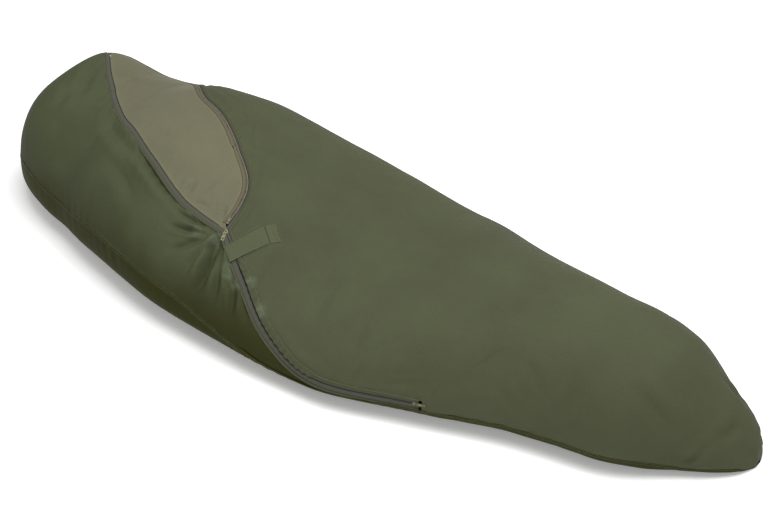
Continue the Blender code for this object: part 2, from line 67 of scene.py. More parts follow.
HEAD_SIDE = 0.02
FOOT_SIDE = 0.115
WIDTH_SHARES = [(0.0, 0.7125), (0.08, 0.7125), (0.15, 0.7375), (0.22, 0.8375), (0.36, 0.975),
                (0.47, 1.0), (0.58, 0.975), (0.69, 0.8), (0.80, 0.6125), (0.90, 0.525),
                (0.96, 0.4375), (1.0, 0.4375)]
HEIGHT_SHARES = [(0.0, 1.0), (0.065, 0.995), (0.095, 0.95), (0.135, 0.895), (0.18, 0.905), (0.23, 0.97),
                 (0.28, 0.965), (0.36, 0.85), (0.47, 0.693), (0.58, 0.56), (0.69, 0.627), (0.80, 0.707),
                 (0.90, 0.707), (0.96, 0.56), (1.0, 0.56)]
PEAK_HEIGHT = 0.02  # the mouth's top corner stands up this much, around a place (along, angle)
PEAK_PLACE = (0.078, 65.0)
PEAK_REACH = (0.022, 28.0)
HEAD_ROUND_WIDTH = 0.385
HEAD_ROUND_HEIGHT = 0.255
HEAD_ROUND_POWER = 2.2
FOOT_ROUND_WIDTH = 0.30
FOOT_ROUND_HEIGHT = 0.365
FOOT_ROUND_POWER = 1.85
SECTION_POWER = 2.3
SIDE_HEIGHT = 0.287
FLOOR_ANGLE = 50.0
ENDS = (0.0001, 0.9996)

# Seams and edges, as (along, angle)
TUB_SEAM = [(0.0, 170.0), (0.38, 170.0), (0.57, 186.0), (1.0, 186.0)]
HEAD_SEAM = ((0.035, 10.0), (0.060, 55.5))
HOOD_RIM = [(0.07, 58), (0.082, 69), (0.108, 82), (0.148, 92.5), (0.204, 104.5), (0.235, 109),
            (0.27, 114), (0.30, 117.5), (0.33, 120.5), (0.355, 122), (0.377, 122.2), (0.395, 122),
            (0.409, 121.8)]
BODY_RIM = [(0.07, 58), (0.085, 51), (0.11, 45), (0.14, 44.5), (0.168, 47.5), (0.195, 57),
            (0.22, 67.5), (0.247, 76), (0.275, 80), (0.305, 84.5), (0.33, 88.5), (0.355, 92),
            (0.38, 97), (0.3935, 102), (0.4015, 108), (0.406, 114), (0.4075, 117.5), (0.409, 121.8)]
ZIP_LINE = [(0.409, 121.8), (0.431, 127.5), (0.45, 132.6), (0.472, 139), (0.506, 151.4), (0.538, 161.8),
            (0.569, 170.5), (0.606, 174.5), (0.65, 176), (0.70, 177)]
RIM_STATIONS = 26

# Fabric, seams and trims
FABRIC = 0.001
SEAM_GAP = 0.001
TRIM_GAP = 0.0004
PANEL_TRIM_GAP = 0.0013
FELL_WIDTH = 0.009  # a flat-felled seam's visible width
HEM_WIDTH = 0.007
STITCH = (0.0028, 0.0007)  # one stitch's length and width
STITCH_PITCH = 0.0042
FINE = 6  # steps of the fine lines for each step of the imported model's

# Zips
COIL_RADIUS = 0.0009
COIL_HALF_SPAN = 0.00145
COIL_PITCH = 0.0021
HOOD_TAPE_EDGE = 0.0142
BODY_TAPE_EDGE = 0.0092
TAPE = 0.0006
ZIP_DEPTH = 0.001
NET_COIL_RADIUS = 0.0006
NET_COIL_HALF_SPAN = 0.00095
NET_COIL_PITCH = 0.0015
NET_TAPE_WIDTH = 0.0026
NET_HEM = 0.009
SLIDER = (0.016, 0.011, 0.0009)
HEAD_SLIDER_AHEAD = 0.007
SLIDER_CLEARANCE = 0.0005
BAIL_RADIUS = 0.0032
BAIL_WIRE = 0.0006
PULLER = (0.030, 0.0092, 0.0012)
PULLER_BAR = 0.0014
PULLER_WINDOW = (0.0056, 0.0064)
PULLER_HOLE = 0.0021
HEAD_PULLER_TURN = 34.0
FOOT_SLIDER_SCALE = 0.8
NET_SLIDER_SCALE = 0.6

# Tab over the zip, as (along, angle) corners
TAB_FREE = ((0.4235, 129.5), (0.4405, 134.0))
TAB_STITCH = ((0.440, 110.5), (0.4605, 115.5))
TAB_END = ((0.4475, 107.0), (0.4685, 112.0))
TAB_LIFT = 0.0040
TAB_AT_STITCH = 0.0018
FLAP = 0.0008
FLAP_GAP = 0.0007

# Folds: the line each runs along, its half width and depth in metres, and for each end whether the fold
# is at full depth there (1) or fades out (0). They are placed to look like the photo's.
HOOD_FOLDS = [
    ([(0.09, 84), (0.105, 98), (0.115, 113)], 0.016, 0.008, 0, 0),
    ([(0.10, 102), (0.10, 114), (0.093, 125)], 0.015, 0.007, 0, 0),
    ([(0.155, 99), (0.20, 113), (0.255, 120), (0.30, 124)], 0.020, 0.008, 0, 0),
    ([(0.24, 114), (0.28, 119), (0.325, 123.5), (0.365, 125)], 0.016, 0.014, 0, 0),
    ([(0.22, 127), (0.27, 133), (0.31, 142)], 0.022, 0.007, 0, 0),
    ([(0.403, 125), (0.39, 126.5), (0.365, 128), (0.335, 129)], 0.007, 0.008, 1, 0),
    ([(0.403, 126), (0.39, 130), (0.37, 134), (0.345, 137)], 0.008, 0.011, 1, 0),
    ([(0.405, 127), (0.393, 134), (0.380, 142), (0.362, 149)], 0.009, 0.010, 1, 0),
    ([(0.414, 128), (0.419, 139), (0.422, 151), (0.417, 165)], 0.014, 0.026, 1, 0),
    ([(0.408, 132), (0.402, 143), (0.398, 154)], 0.009, 0.009, 0, 0),
    ([(0.424, 130), (0.434, 141), (0.444, 152), (0.446, 166)], 0.008, 0.013, 1, 0),
    ([(0.44, 135), (0.462, 146), (0.472, 158), (0.466, 170)], 0.009, 0.010, 0, 0),
    ([(0.47, 143), (0.49, 153), (0.497, 164)], 0.010, 0.006, 0, 0),
]
BODY_FOLDS = [
    ([(0.274, 75), (0.30, 71), (0.33, 67)], 0.009, 0.0031, 1, 0),
    ([(0.306, 81), (0.33, 76), (0.366, 72)], 0.009, 0.0036, 1, 0),
    ([(0.347, 88), (0.378, 85), (0.412, 81)], 0.009, 0.0031, 1, 0),
    ([(0.375, 95), (0.398, 93), (0.432, 90)], 0.009, 0.0028, 1, 0),
    ([(0.546, 105), (0.548, 118), (0.554, 131), (0.56, 142)], 0.018, 0.0063, 0, 0),
    ([(0.611, 123), (0.613, 136), (0.612, 149)], 0.013, 0.0056, 0, 0),
    ([(0.634, 154), (0.633, 162), (0.631, 168)], 0.009, 0.0077, 0, 1),
    ([(0.647, 140), (0.652, 156), (0.65, 170)], 0.011, 0.0049, 0, 1),
    ([(0.67, 145), (0.675, 160), (0.675, 173)], 0.011, 0.0049, 0, 1),
    ([(0.77, 147), (0.783, 162), (0.797, 174)], 0.012, 0.0077, 0, 0),
    ([(0.778, 129), (0.80, 140), (0.816, 153)], 0.012, 0.0056, 0, 0),
    ([(0.84, 125), (0.847, 144), (0.84, 161), (0.825, 172)], 0.014, 0.0063, 0, 0),
    ([(0.883, 117), (0.912, 130), (0.93, 139), (0.945, 150)], 0.018, 0.0084, 0, 0),
    ([(0.94, 66), (0.955, 50), (0.973, 47)], 0.012, 0.0049, 0, 0),
    ([(0.975, 81), (0.973, 110), (0.966, 143)], 0.014, 0.0056, 0, 0),
    ([(0.964, 133), (0.961, 160), (0.955, 174)], 0.011, 0.0084, 0, 1),
]
NET_FOLDS = [
    ([(0.334, 125), (0.332, 122), (0.3305, 118)], 0.007, 0.0040, 0, 0),
    ([(0.345, 122), (0.343, 116), (0.340, 110)], 0.008, 0.0055, 0, 0),
    ([(0.357, 122), (0.366, 119), (0.379, 117)], 0.006, 0.0025, 0, 0),
    ([(0.399, 120), (0.394, 116), (0.386, 112)], 0.006, 0.0030, 0, 0),
]
PUCKER_PITCH = 0.030
PUCKER_HEIGHT = 0.0030
PUCKER_REACH = 0.035

# Colours, linear
OLIVE = (0.063, 0.070, 0.038)
HOOD_OLIVE = (0.061, 0.070, 0.037)
# the tub's own darker cloth, darkened further with painted shade for the bag's underside
TUB_OLIVE_AND_SHADE = (0.025, 0.026, 0.002)
TAN = (0.120, 0.116, 0.072)
TAPE_GREY = (0.072, 0.071, 0.056)
COIL_DARK = (0.032, 0.033, 0.026)
NET_COIL = (0.16, 0.15, 0.11)
THREAD = (0.15, 0.16, 0.10)
METAL = (0.17, 0.16, 0.10)
PATCH = (0.045, 0.05, 0.028)
# painted shade: the hood cloth's colour low down, where its lower side is in shade
HOOD_PAINTED_SHADE = (0.027, 0.029, 0.006)
PAINTED_SHEEN_COLOUR = (0.094, 0.112, 0.071)  # painted highlights: paler, bluer patches beside the zip, where light catches the folds
PAINTED_SHEEN_SPOTS = [((0.447, 137), 0.030), ((0.462, 141), 0.022), ((0.474, 136), 0.022),
              ((0.502, 145), 0.030), ((0.41, 128.5), 0.022), ((0.385, 131), 0.020)]
PAINTED_SHADE_HEIGHTS = (0.13, 0.33)  # heights between which the hood cloth goes from its painted shade colour to its own
WORLD_LIGHT = 0.52
FLOOR_GLOW = 0.22


# ---- The surface ----


def smooth_line(points, at):
    """A curve through the points that never swings past them."""
    x, y = np.array(points, float).T
    step = np.diff(x)
    slope = np.diff(y) / step
    tangent = np.concatenate([slope[:1], np.zeros(len(x) - 2), slope[-1:]])
    turning = slope[:-1] * slope[1:] <= 0
    total = np.where(turning, 1.0, slope[:-1] + slope[1:])
    tangent[1:-1] = np.where(turning, 0.0, 2 * slope[:-1] * slope[1:] / total)
    at = np.clip(at, x[0], x[-1])
    k = np.clip(np.searchsorted(x, at) - 1, 0, len(step) - 1)
    t = (at - x[k]) / step[k]
    start = (1 + 2 * t) * (1 - t) ** 2 * y[k] + t * (1 - t) ** 2 * step[k] * tangent[k]
    return start + t * t * (3 - 2 * t) * y[k + 1] + t * t * (t - 1) * step[k] * tangent[k + 1]


def ease(share):
    """A share from 0 to 1, with a slow start and end."""
    return share * share * (3 - 2 * share)


def unit(vectors):
    return vectors / np.maximum(np.linalg.norm(vectors, axis=-1, keepdims=True), 1e-12)


def rounded(distance, length, power):
    share = np.clip(distance / length, 0, 1)
    return (1 - (1 - share) ** power) ** (1 / power)


def signed_power(value, power):
    return np.sign(value) * np.abs(value) ** power


def raw_surface(along, angle):
    along, angle = np.broadcast_arrays(np.asarray(along, float), np.asarray(angle, float))
    from_head = along * LENGTH
    from_foot = (1 - along) * LENGTH
    width = HALF_WIDTH * smooth_line(WIDTH_SHARES, along)
    width = width * rounded(from_head, HEAD_ROUND_WIDTH, HEAD_ROUND_POWER)
    width = width * rounded(from_foot, FOOT_ROUND_WIDTH, FOOT_ROUND_POWER)
    height = HOOD_HEIGHT * smooth_line(HEIGHT_SHARES, along)
    height = height * rounded(from_head, HEAD_ROUND_HEIGHT, HEAD_ROUND_POWER)
    height = height * rounded(from_foot, FOOT_ROUND_HEIGHT, FOOT_ROUND_POWER)
    turn = np.radians(angle)
    shape = 2 / SECTION_POWER
    across = signed_power(np.cos(turn), shape)
    above = SIDE_HEIGHT + (1 - SIDE_HEIGHT) * np.abs(np.sin(turn)) ** shape
    below = SIDE_HEIGHT * (1 - np.abs(np.sin(turn)) / math.sin(math.radians(FLOOR_ANGLE)))
    up = np.where(np.sin(turn) >= 0, above, below)
    on_floor = (angle > 180 + FLOOR_ANGLE) & (angle < 360 - FLOOR_ANGLE)
    floor_edge = math.cos(math.radians(FLOOR_ANGLE)) ** shape
    across = np.where(on_floor, floor_edge * (angle - 270) / (90 - FLOOR_ANGLE), across)
    up = np.where(on_floor, 0.0, up)
    late = ease(np.clip((along - 0.88) / 0.12, 0, 1))
    middle = HEAD_SIDE * (1 - along) ** 2 + FOOT_SIDE * along ** 2 + FOOT_SWEEP * late
    peak_along = (along - PEAK_PLACE[0]) / PEAK_REACH[0]
    peak_round = (angle - PEAK_PLACE[1]) / PEAK_REACH[1]
    peak = np.exp(-peak_along ** 2 - peak_round ** 2)
    x = from_head + FOOT_REACH * late
    return np.stack([x, middle + width * across, height * up + PEAK_HEIGHT * peak], axis=-1)


def surface_centre():
    along = np.linspace(0, 1, 401)
    sides = np.concatenate([raw_surface(along, 0.0), raw_surface(along, 180.0)])
    middle = (sides.min(axis=0) + sides.max(axis=0)) / 2
    return np.array([middle[0], middle[1], 0.0])


CENTRE = surface_centre()


def slopes(along, angle):
    """How the surface moves with along and with angle, and its outward normal."""
    step_along, step_angle = 1e-4, 0.02
    back, ahead = np.maximum(along - step_along, 0), np.minimum(along + step_along, 1)
    by_along = raw_surface(ahead, angle) - raw_surface(back, angle)
    by_along = by_along / (ahead - back)[..., None]
    by_angle = raw_surface(along, angle + step_angle) - raw_surface(along, angle - step_angle)
    by_angle = by_angle / (2 * step_angle)
    return by_along, by_angle, unit(np.cross(by_angle, by_along))


def surface(along, angle, height=0.0):
    """Points on the bag's outside, or this much above it."""
    along, angle = np.broadcast_arrays(np.asarray(along, float), np.asarray(angle, float))
    points = raw_surface(along, angle) - CENTRE
    if np.any(height):
        points = points + slopes(along, angle)[2] * np.asarray(height)[..., None]
    return points


def offset(line, side):
    """The line moved sideways over the surface, towards the far side where side is positive."""
    along, angle = line.T
    by_along, by_angle, normal = slopes(along, angle)
    tangent = np.gradient(raw_surface(along, angle), axis=0)
    across = np.cross(normal, tangent)
    side = np.asarray(side, float)
    if side.ndim:
        side = side[:, None]
    across = unit(across) * side
    a = (by_along * by_along).sum(axis=1)
    b = (by_along * by_angle).sum(axis=1)
    c = (by_angle * by_angle).sum(axis=1)
    d, e = (by_along * across).sum(axis=1), (by_angle * across).sum(axis=1)
    scale = a * c - b * b
    return np.stack([along + (c * d - b * e) / scale, angle + (a * e - b * d) / scale], axis=1)


def lengths(points):
    """Distance along a row of points, from its start."""
    return np.concatenate([[0], np.cumsum(np.linalg.norm(np.diff(points, axis=0), axis=1))])


def follow(line, stations, at):
    """The line's columns at these places, on a smooth curve through its stations."""
    curves = [np.stack([stations, column], axis=1) for column in line.T]
    return np.stack([smooth_line(curve, at) for curve in curves], axis=1)


def rim(points):
    points = np.array(points, float)
    length = lengths(surface(*points.T))
    share = (1 - (1 - np.linspace(0, 1, RIM_STATIONS)) ** 1.3) * length[-1]
    return follow(points, length, share)


def zip_chain():
    points = np.array(ZIP_LINE, float)
    between = (points[1:-2] + points[2:-1]) / 2
    between[:, 1] = smooth_line(ZIP_LINE, between[:, 0])
    rows = np.concatenate([points, between])
    return rows[np.argsort(rows[:, 0])][1:]


def finer(line, steps=FINE):
    """The same line with more stations, on a smooth curve through the given ones."""
    line = np.asarray(line, float)
    count = len(line)
    at = np.linspace(0, count - 1, (count - 1) * steps + 1)
    return follow(line, np.arange(count), at)


CHAIN = zip_chain()
HOOD_LINE = np.concatenate([rim(HOOD_RIM), CHAIN])
BODY_LINE = np.concatenate([rim(BODY_RIM), CHAIN])
FORK = RIM_STATIONS - 1
FLAP_LINE = CHAIN[(CHAIN[:, 0] > 0.445) & (CHAIN[:, 0] < 0.59)]


# ---- Materials ----


def new_material(name):
    made = bpy.data.materials.new(name)
    made.use_nodes = True
    return made, made.node_tree.nodes, made.node_tree.links, made.node_tree.nodes["Principled BSDF"]


def ramp_between(nodes, links, factor, dark, light, low=0.3, high=0.7):
    """A colour that goes from dark to light as factor goes from low to high."""
    ramp = nodes.new("ShaderNodeValToRGB")
    ramp.color_ramp.elements[0].position = low
    ramp.color_ramp.elements[1].position = high
    ramp.color_ramp.elements[0].color = (*dark, 1)
    ramp.color_ramp.elements[1].color = (*light, 1)
    links.new(factor, ramp.inputs["Fac"])
    return ramp.outputs["Color"]


def shade(colour, factor):
    return tuple(channel * factor for channel in colour)


def noise_node(nodes, links, vector, scale, detail=4.0, roughness=0.55):
    made = nodes.new("ShaderNodeTexNoise")
    made.inputs["Scale"].default_value = scale
    made.inputs["Detail"].default_value = detail
    made.inputs["Roughness"].default_value = roughness
    links.new(vector, made.inputs["Vector"])
    return made.outputs["Fac"]


def bump(nodes, links, height, strength, distance, before=None):
    made = nodes.new("ShaderNodeBump")
    made.inputs["Strength"].default_value = strength
    made.inputs["Distance"].default_value = distance
    links.new(height, made.inputs["Height"])
    if before is not None:
        links.new(before, made.inputs["Normal"])
    return made.outputs["Normal"]


def mix_colour(nodes, links, share, first, second, blend="MIX"):
    """Two colours mixed. The share and either colour may be a socket or a plain value."""
    made = nodes.new("ShaderNodeMix")
    made.data_type = "RGBA"
    made.blend_type = blend
    for number, value in ((0, share), (6, first), (7, second)):
        if isinstance(value, bpy.types.NodeSocket):
            links.new(value, made.inputs[number])
        else:
            made.inputs[number].default_value = value
    return made.outputs[2]


def product(nodes, links, first, second):
    made = nodes.new("ShaderNodeMath")
    made.operation = "MULTIPLY"
    links.new(first, made.inputs[0])
    links.new(second, made.inputs[1])
    return made.outputs[0]


def rescale(nodes, links, value, low, high, source=(0.0, 1.0), interpolation="LINEAR"):
    """The value taken from the source range to the range from low to high."""
    made = nodes.new("ShaderNodeMapRange")
    made.interpolation_type = interpolation
    made.inputs["From Min"].default_value, made.inputs["From Max"].default_value = source
    made.inputs["To Min"].default_value = low
    made.inputs["To Max"].default_value = high
    links.new(value, made.inputs["Value"])
    return made.outputs["Result"]


def weave(nodes, links, coordinates, pitch, share=0.5):
    """Crossed yarns of this pitch in metres, as a height between 0 and 1."""
    waves = []
    for direction in ("X", "Y"):
        made = nodes.new("ShaderNodeTexWave")
        made.wave_type = "BANDS"
        made.bands_direction = direction
        made.inputs["Scale"].default_value = 2 * math.pi / (20 * pitch)
        made.inputs["Distortion"].default_value = 0.6
        made.inputs["Detail"].default_value = 1.0
        links.new(coordinates, made.inputs["Vector"])
        waves.append(made.outputs["Fac"])
    mixed = nodes.new("ShaderNodeMix")
    mixed.data_type = "FLOAT"
    mixed.inputs[0].default_value = share
    links.new(waves[0], mixed.inputs[2])
    links.new(waves[1], mixed.inputs[3])
    return mixed.outputs[0]


def fabric(name, colour, roughness=0.72, sheen=0.01, pitch=0.0006, blotch=0.09, crinkle=0.35, low=None):
    """Woven cloth: yarns, small crinkles, uneven dye, and paler edges where the edge attribute says."""
    made, nodes, links, shader = new_material(name)
    places = nodes.new("ShaderNodeTexCoord")
    on_bag = places.outputs["Object"]
    broad = noise_node(nodes, links, on_bag, 5.0, 5.0, 0.6)
    dye = ramp_between(nodes, links, broad, shade(colour, 1 - blotch), shade(colour, 1 + blotch))
    flecks = noise_node(nodes, links, on_bag, 260.0, 3.0, 0.7)
    grain = ramp_between(nodes, links, flecks, (0.93, 0.93, 0.93), (1.06, 1.06, 1.06))
    cloth = mix_colour(nodes, links, 1.0, dye, grain, "MULTIPLY")
    # painted shade near the ground, darker and warmer low down
    if low is not None:
        cloth = painted_ground_shade(nodes, links, on_bag, broad, cloth, low)
    # painted highlights: paler patches beside the zip
    cloth = painted_sheen_patches(nodes, links, on_bag, cloth)
    edge = nodes.new("ShaderNodeAttribute")
    edge.attribute_name = "edge"
    scuffs = product(nodes, links, edge.outputs["Fac"], noise_node(nodes, links, on_bag, 40.0))
    cloth = mix_colour(nodes, links, scuffs, cloth, (*shade(colour, 1.22), 1))
    links.new(cloth, shader.inputs["Base Color"])
    gloss = rescale(nodes, links, broad, roughness - 0.07, roughness + 0.07)
    links.new(gloss, shader.inputs["Roughness"])
    yarns = bump(nodes, links, weave(nodes, links, places.outputs["UV"], pitch), 0.25, 0.0002)
    small = noise_node(nodes, links, on_bag, 38.0, 5.0, 0.62)
    links.new(bump(nodes, links, small, crinkle, 0.004, yarns), shader.inputs["Normal"])
    shader.inputs["Sheen Weight"].default_value = sheen
    shader.inputs["Sheen Roughness"].default_value = 0.45
    shader.inputs["Specular IOR Level"].default_value = 0.06
    return made


def painted_sheen_patches(nodes, links, places, cloth):
    """The cloth's colour, paler and bluer in ragged patches where the mesh attribute for them is high:
    painted highlights.
    """
    painted_sheen = nodes.new("ShaderNodeAttribute")
    painted_sheen.attribute_name = "painted_sheen"
    tears = noise_node(nodes, links, places, 42.0, 5.0, 0.6)
    ragged = product(nodes, links, painted_sheen.outputs["Fac"], tears)
    share = rescale(nodes, links, ragged, 0.0, 0.85, (0.22, 0.50))
    return mix_colour(nodes, links, share, cloth, (*PAINTED_SHEEN_COLOUR, 1))


def painted_ground_shade(nodes, links, places, broad, cloth, low):
    """The cloth's colour, turning to the low colour near the ground. This is painted shade, standing in
    for the shade on the hood's lower side.
    """
    split = nodes.new("ShaderNodeSeparateXYZ")
    links.new(places, split.inputs["Vector"])
    uneven = nodes.new("ShaderNodeMath")
    uneven.operation = "MULTIPLY_ADD"
    uneven.inputs[1].default_value = 0.10
    links.new(broad, uneven.inputs[0])
    links.new(split.outputs["Z"], uneven.inputs[2])
    share = rescale(nodes, links, uneven.outputs[0], 0.0, 1.0, PAINTED_SHADE_HEIGHTS, "SMOOTHSTEP")
    return mix_colour(nodes, links, share, (*low, 1), cloth)


def ribbed_tape(name, colour):
    """Zip tape: fine ribs across it and along it, paler on their crests."""
    made, nodes, links, shader = new_material(name)
    places = nodes.new("ShaderNodeTexCoord")
    ribs = weave(nodes, links, places.outputs["UV"], 0.0011, 0.35)
    paint = ramp_between(nodes, links, ribs, shade(colour, 0.82), shade(colour, 1.12))
    links.new(paint, shader.inputs["Base Color"])
    fuzz = noise_node(nodes, links, places.outputs["Object"], 300.0, 4.0)
    ribbed = bump(nodes, links, ribs, 0.6, 0.0004)
    links.new(bump(nodes, links, fuzz, 0.3, 0.0004, ribbed), shader.inputs["Normal"])
    links.new(rescale(nodes, links, fuzz, 0.7, 0.9), shader.inputs["Roughness"])
    shader.inputs["Sheen Weight"].default_value = 0.05
    shader.inputs["Specular IOR Level"].default_value = 0.15
    return made


def nylon(name, colour, roughness=0.4):
    """Moulded or spun nylon: slight streaks and fine scratches."""
    made, nodes, links, shader = new_material(name)
    places = nodes.new("ShaderNodeTexCoord")
    streaks = noise_node(nodes, links, places.outputs["Object"], 120.0, 5.0)
    paint = ramp_between(nodes, links, streaks, shade(colour, 0.75), shade(colour, 1.3))
    links.new(paint, shader.inputs["Base Color"])
    gloss = rescale(nodes, links, streaks, roughness - 0.1, roughness + 0.15)
    links.new(gloss, shader.inputs["Roughness"])
    links.new(bump(nodes, links, streaks, 0.2, 0.0003), shader.inputs["Normal"])
    return made


def worn_metal(name, colour):
    """Die-cast metal: brushed along one way, darker in patches and brighter where it is rubbed."""
    made, nodes, links, shader = new_material(name)
    places = nodes.new("ShaderNodeTexCoord")
    tarnish = noise_node(nodes, links, places.outputs["Object"], 180.0, 6.0, 0.65)
    paint = ramp_between(nodes, links, tarnish, shade(colour, 0.55), shade(colour, 1.25))
    links.new(paint, shader.inputs["Base Color"])
    brushed = nodes.new("ShaderNodeMapping")
    brushed.inputs["Scale"].default_value = (40, 1500, 1500)
    links.new(places.outputs["Object"], brushed.inputs["Vector"])
    lines = noise_node(nodes, links, brushed.outputs["Vector"], 1.0, 3.0)
    links.new(rescale(nodes, links, tarnish, 0.34, 0.60), shader.inputs["Roughness"])
    links.new(bump(nodes, links, lines, 0.12, 0.0001), shader.inputs["Normal"])
    shader.inputs["Metallic"].default_value = 1.0
    return made


# ---- Making pieces ----


def finish_piece(piece, paint, nodes=(), body="sack"):
    piece.data.materials.clear()
    piece.data.materials.append(paint)
    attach(piece, body)
    if nodes:
        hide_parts(*nodes)
    return piece


def add_object(name, data):
    made = bpy.data.objects.new(name, data)
    bpy.context.scene.collection.objects.link(made)
    return made


def new_object(name, vertices, faces):
    data = bpy.data.meshes.new(name)
    data.from_pydata(np.asarray(vertices).tolist(), [], np.asarray(faces).tolist())
    data.update()
    data.polygons.foreach_set("use_smooth", [True] * len(data.polygons))
    return add_object(name, data)


def grid_faces(rows, columns, wrap=False):
    index = np.arange(rows * columns).reshape(rows, columns)
    if wrap:
        index = np.concatenate([index, index[:, :1]], axis=1)
    corners = [index[:-1, :-1], index[1:, :-1], index[1:, 1:], index[:-1, 1:]]
    return np.stack(corners, axis=-1).reshape(-1, 4)


def border_distance(points):
    """For each point of a grid, the distance to the nearest of its four borders, over the surface."""
    rows = np.linalg.norm(np.diff(points, axis=0), axis=2)
    columns = np.linalg.norm(np.diff(points, axis=1), axis=2)
    zero_row = np.zeros((1, points.shape[1]))
    zero_column = np.zeros((points.shape[0], 1))
    down = np.concatenate([zero_row, np.cumsum(rows, axis=0)], axis=0)
    over = np.concatenate([zero_column, np.cumsum(columns, axis=1)], axis=1)
    return np.minimum(np.minimum(down, down[-1] - down), np.minimum(over, over[:, -1:] - over))


def cloth_grid(name, points, edge_width=0.006):
    """A sheet through a grid of points, with UVs in metres and an attribute that is 1 at its edges."""
    rows, columns = points.shape[:2]
    made = new_object(name, points.reshape(-1, 3), grid_faces(rows, columns))
    u = lengths(points[:, columns // 2])
    v = lengths(points[rows // 2])
    u, v = np.meshgrid(u, v, indexing="ij")
    uv = np.stack([u, v], axis=-1).reshape(-1, 2)
    corners = np.empty(len(made.data.loops), np.int32)
    made.data.loops.foreach_get("vertex_index", corners)
    layer = made.data.uv_layers.new(name="metres")
    layer.data.foreach_set("uv", uv[corners].reshape(-1))
    edge = made.data.attributes.new("edge", "FLOAT", "POINT")
    near = np.exp(-(border_distance(points).reshape(-1) / edge_width) ** 2)
    edge.data.foreach_set("value", near.astype(np.float32))
    return made


def thicken(piece, thickness):
    """Gives the sheet this thickness, below the surface it is drawn on."""
    skin = piece.modifiers.new("thickness", "SOLIDIFY")
    skin.thickness = thickness
    skin.offset = -1.0
    return piece


def smoother(piece):
    step = piece.modifiers.new("smoother", "SUBSURF")
    step.levels = step.render_levels = 1
    step.boundary_smooth = "PRESERVE_CORNERS"
    return piece


def between(first, second, shares):
    """A grid of (along, angle) from one edge line to the other. Rows run along the edges."""
    shares = np.asarray(shares, float)[None, :, None]
    return first[:, None, :] * (1 - shares) + second[:, None, :] * shares


def band(name, line, inner, outer, height, crown, columns=7):
    """A strip along a line, between two sideways distances, raised by crown along its middle."""
    shares = np.linspace(0, 1, columns)
    grid = between(offset(line, inner), offset(line, outer), shares)
    heights = np.broadcast_to(height + crown * (1 - (2 * shares - 1) ** 2), grid.shape[:2])
    return cloth_grid(name, surface(grid[..., 0], grid[..., 1], heights), 0.001)


def resample(line, pitch):
    """Stations a fixed distance apart along a line of (along, angle)."""
    length = lengths(surface(*line.T))
    at = np.arange(pitch / 2, length[-1], pitch)
    return np.stack([np.interp(at, length, column) for column in line.T], axis=1)


def frames_along(line, side, height):
    """Places on the surface along a line, with their travel, sideways and outward directions."""
    moved = offset(line, side)
    points = surface(moved[:, 0], moved[:, 1], height)
    travel = unit(np.gradient(points, axis=0))
    normal = slopes(moved[:, 0], moved[:, 1])[2]
    across = unit(np.cross(normal, travel))
    return points, travel, across, np.cross(travel, across)


STITCH_RINGS = ((-0.5, 0.35), (-0.25, 1.0), (0.25, 1.0), (0.5, 0.35))  # share of its length, and swell
STITCH_SIDES = 6


def stitch_row(line, side, height):
    """The points of every stitch of one row, as (stitch, ring, side, xyz)."""
    length, width = STITCH
    turn = np.linspace(0, 2 * math.pi, STITCH_SIDES, endpoint=False)
    points, travel, across, outward = frames_along(resample(line, STITCH_PITCH), side, height)
    rings = []
    for share, swell in STITCH_RINGS:
        ring = points[:, None] + travel[:, None] * share * length
        ring = ring + across[:, None] * (np.cos(turn) * width / 2 * swell)[None, :, None]
        ring = ring + outward[:, None] * (np.sin(turn) * width / 3 * swell)[None, :, None]
        rings.append(ring)
    return np.stack(rings, axis=1)


def stitching(name, rows, paint, body="sack"):
    """Rows of separate stitches. Each row is (line, side, height)."""
    stitches = np.concatenate([stitch_row(*row) for row in rows])
    pattern = grid_faces(len(STITCH_RINGS), STITCH_SIDES, wrap=True)
    first = np.arange(len(stitches)) * len(STITCH_RINGS) * STITCH_SIDES
    made = new_object(name, stitches.reshape(-1, 3), (pattern + first[:, None, None]).reshape(-1, 4))
    return finish_piece(made, paint, body=body)


# ---- Folds ----


def fold(points, line, width, depth, start_full, end_full):
    """Height change made by one crease: a valley along the line, with a low ridge on each side."""
    route = finer(line, 4)
    route = surface(route[:, 0], route[:, 1])
    length = lengths(route)
    nearest = np.full(len(points), 1e9)
    share = np.zeros(len(points))
    for number in range(len(route) - 1):
        start, step = route[number], route[number + 1] - route[number]
        t = np.clip(((points - start) @ step) / (step @ step), 0, 1)
        away = np.linalg.norm(points - start - t[:, None] * step, axis=1)
        closer = away < nearest
        nearest = np.where(closer, away, nearest)
        here = (length[number] + t * (length[number + 1] - length[number])) / length[-1]
        share = np.where(closer, here, share)
    fade_in = 1.0 if start_full else np.clip(share / 0.45, 0, 1)
    fade_out = 1.0 if end_full else np.clip((1 - share) / 0.45, 0, 1)
    fade = ease(fade_in * fade_out)
    valley = np.exp(-(nearest / width) ** 1.4)
    ridge = np.exp(-((nearest - 1.8 * width) / (0.9 * width)) ** 2)
    return depth * fade * (0.55 * ridge - valley)


def random_height(points, size, seed):
    """Smooth noise between about -1 and 1, with features of this size in metres."""
    shift = Vector((seed * 7.31, seed * 3.77, seed * 1.93))
    return np.array([noise.noise(Vector(point) / size + shift) for point in points.tolist()])


def puckers(points, away, seed):
    """Short gathers that run off a seam, for points at these distances from it."""
    along = points[:, 0] + 0.35 * points[:, 1]
    wander = random_height(points, 0.11, seed) * 0.9
    strength = np.clip(0.5 + random_height(points, 0.16, seed + 5) * 1.3, 0, 1.3)
    wave = np.cos(2 * math.pi * along / PUCKER_PITCH + 6 * wander)
    return PUCKER_HEIGHT * strength * wave * np.exp(-away / PUCKER_REACH)


SETTLE_FRAMES = 22


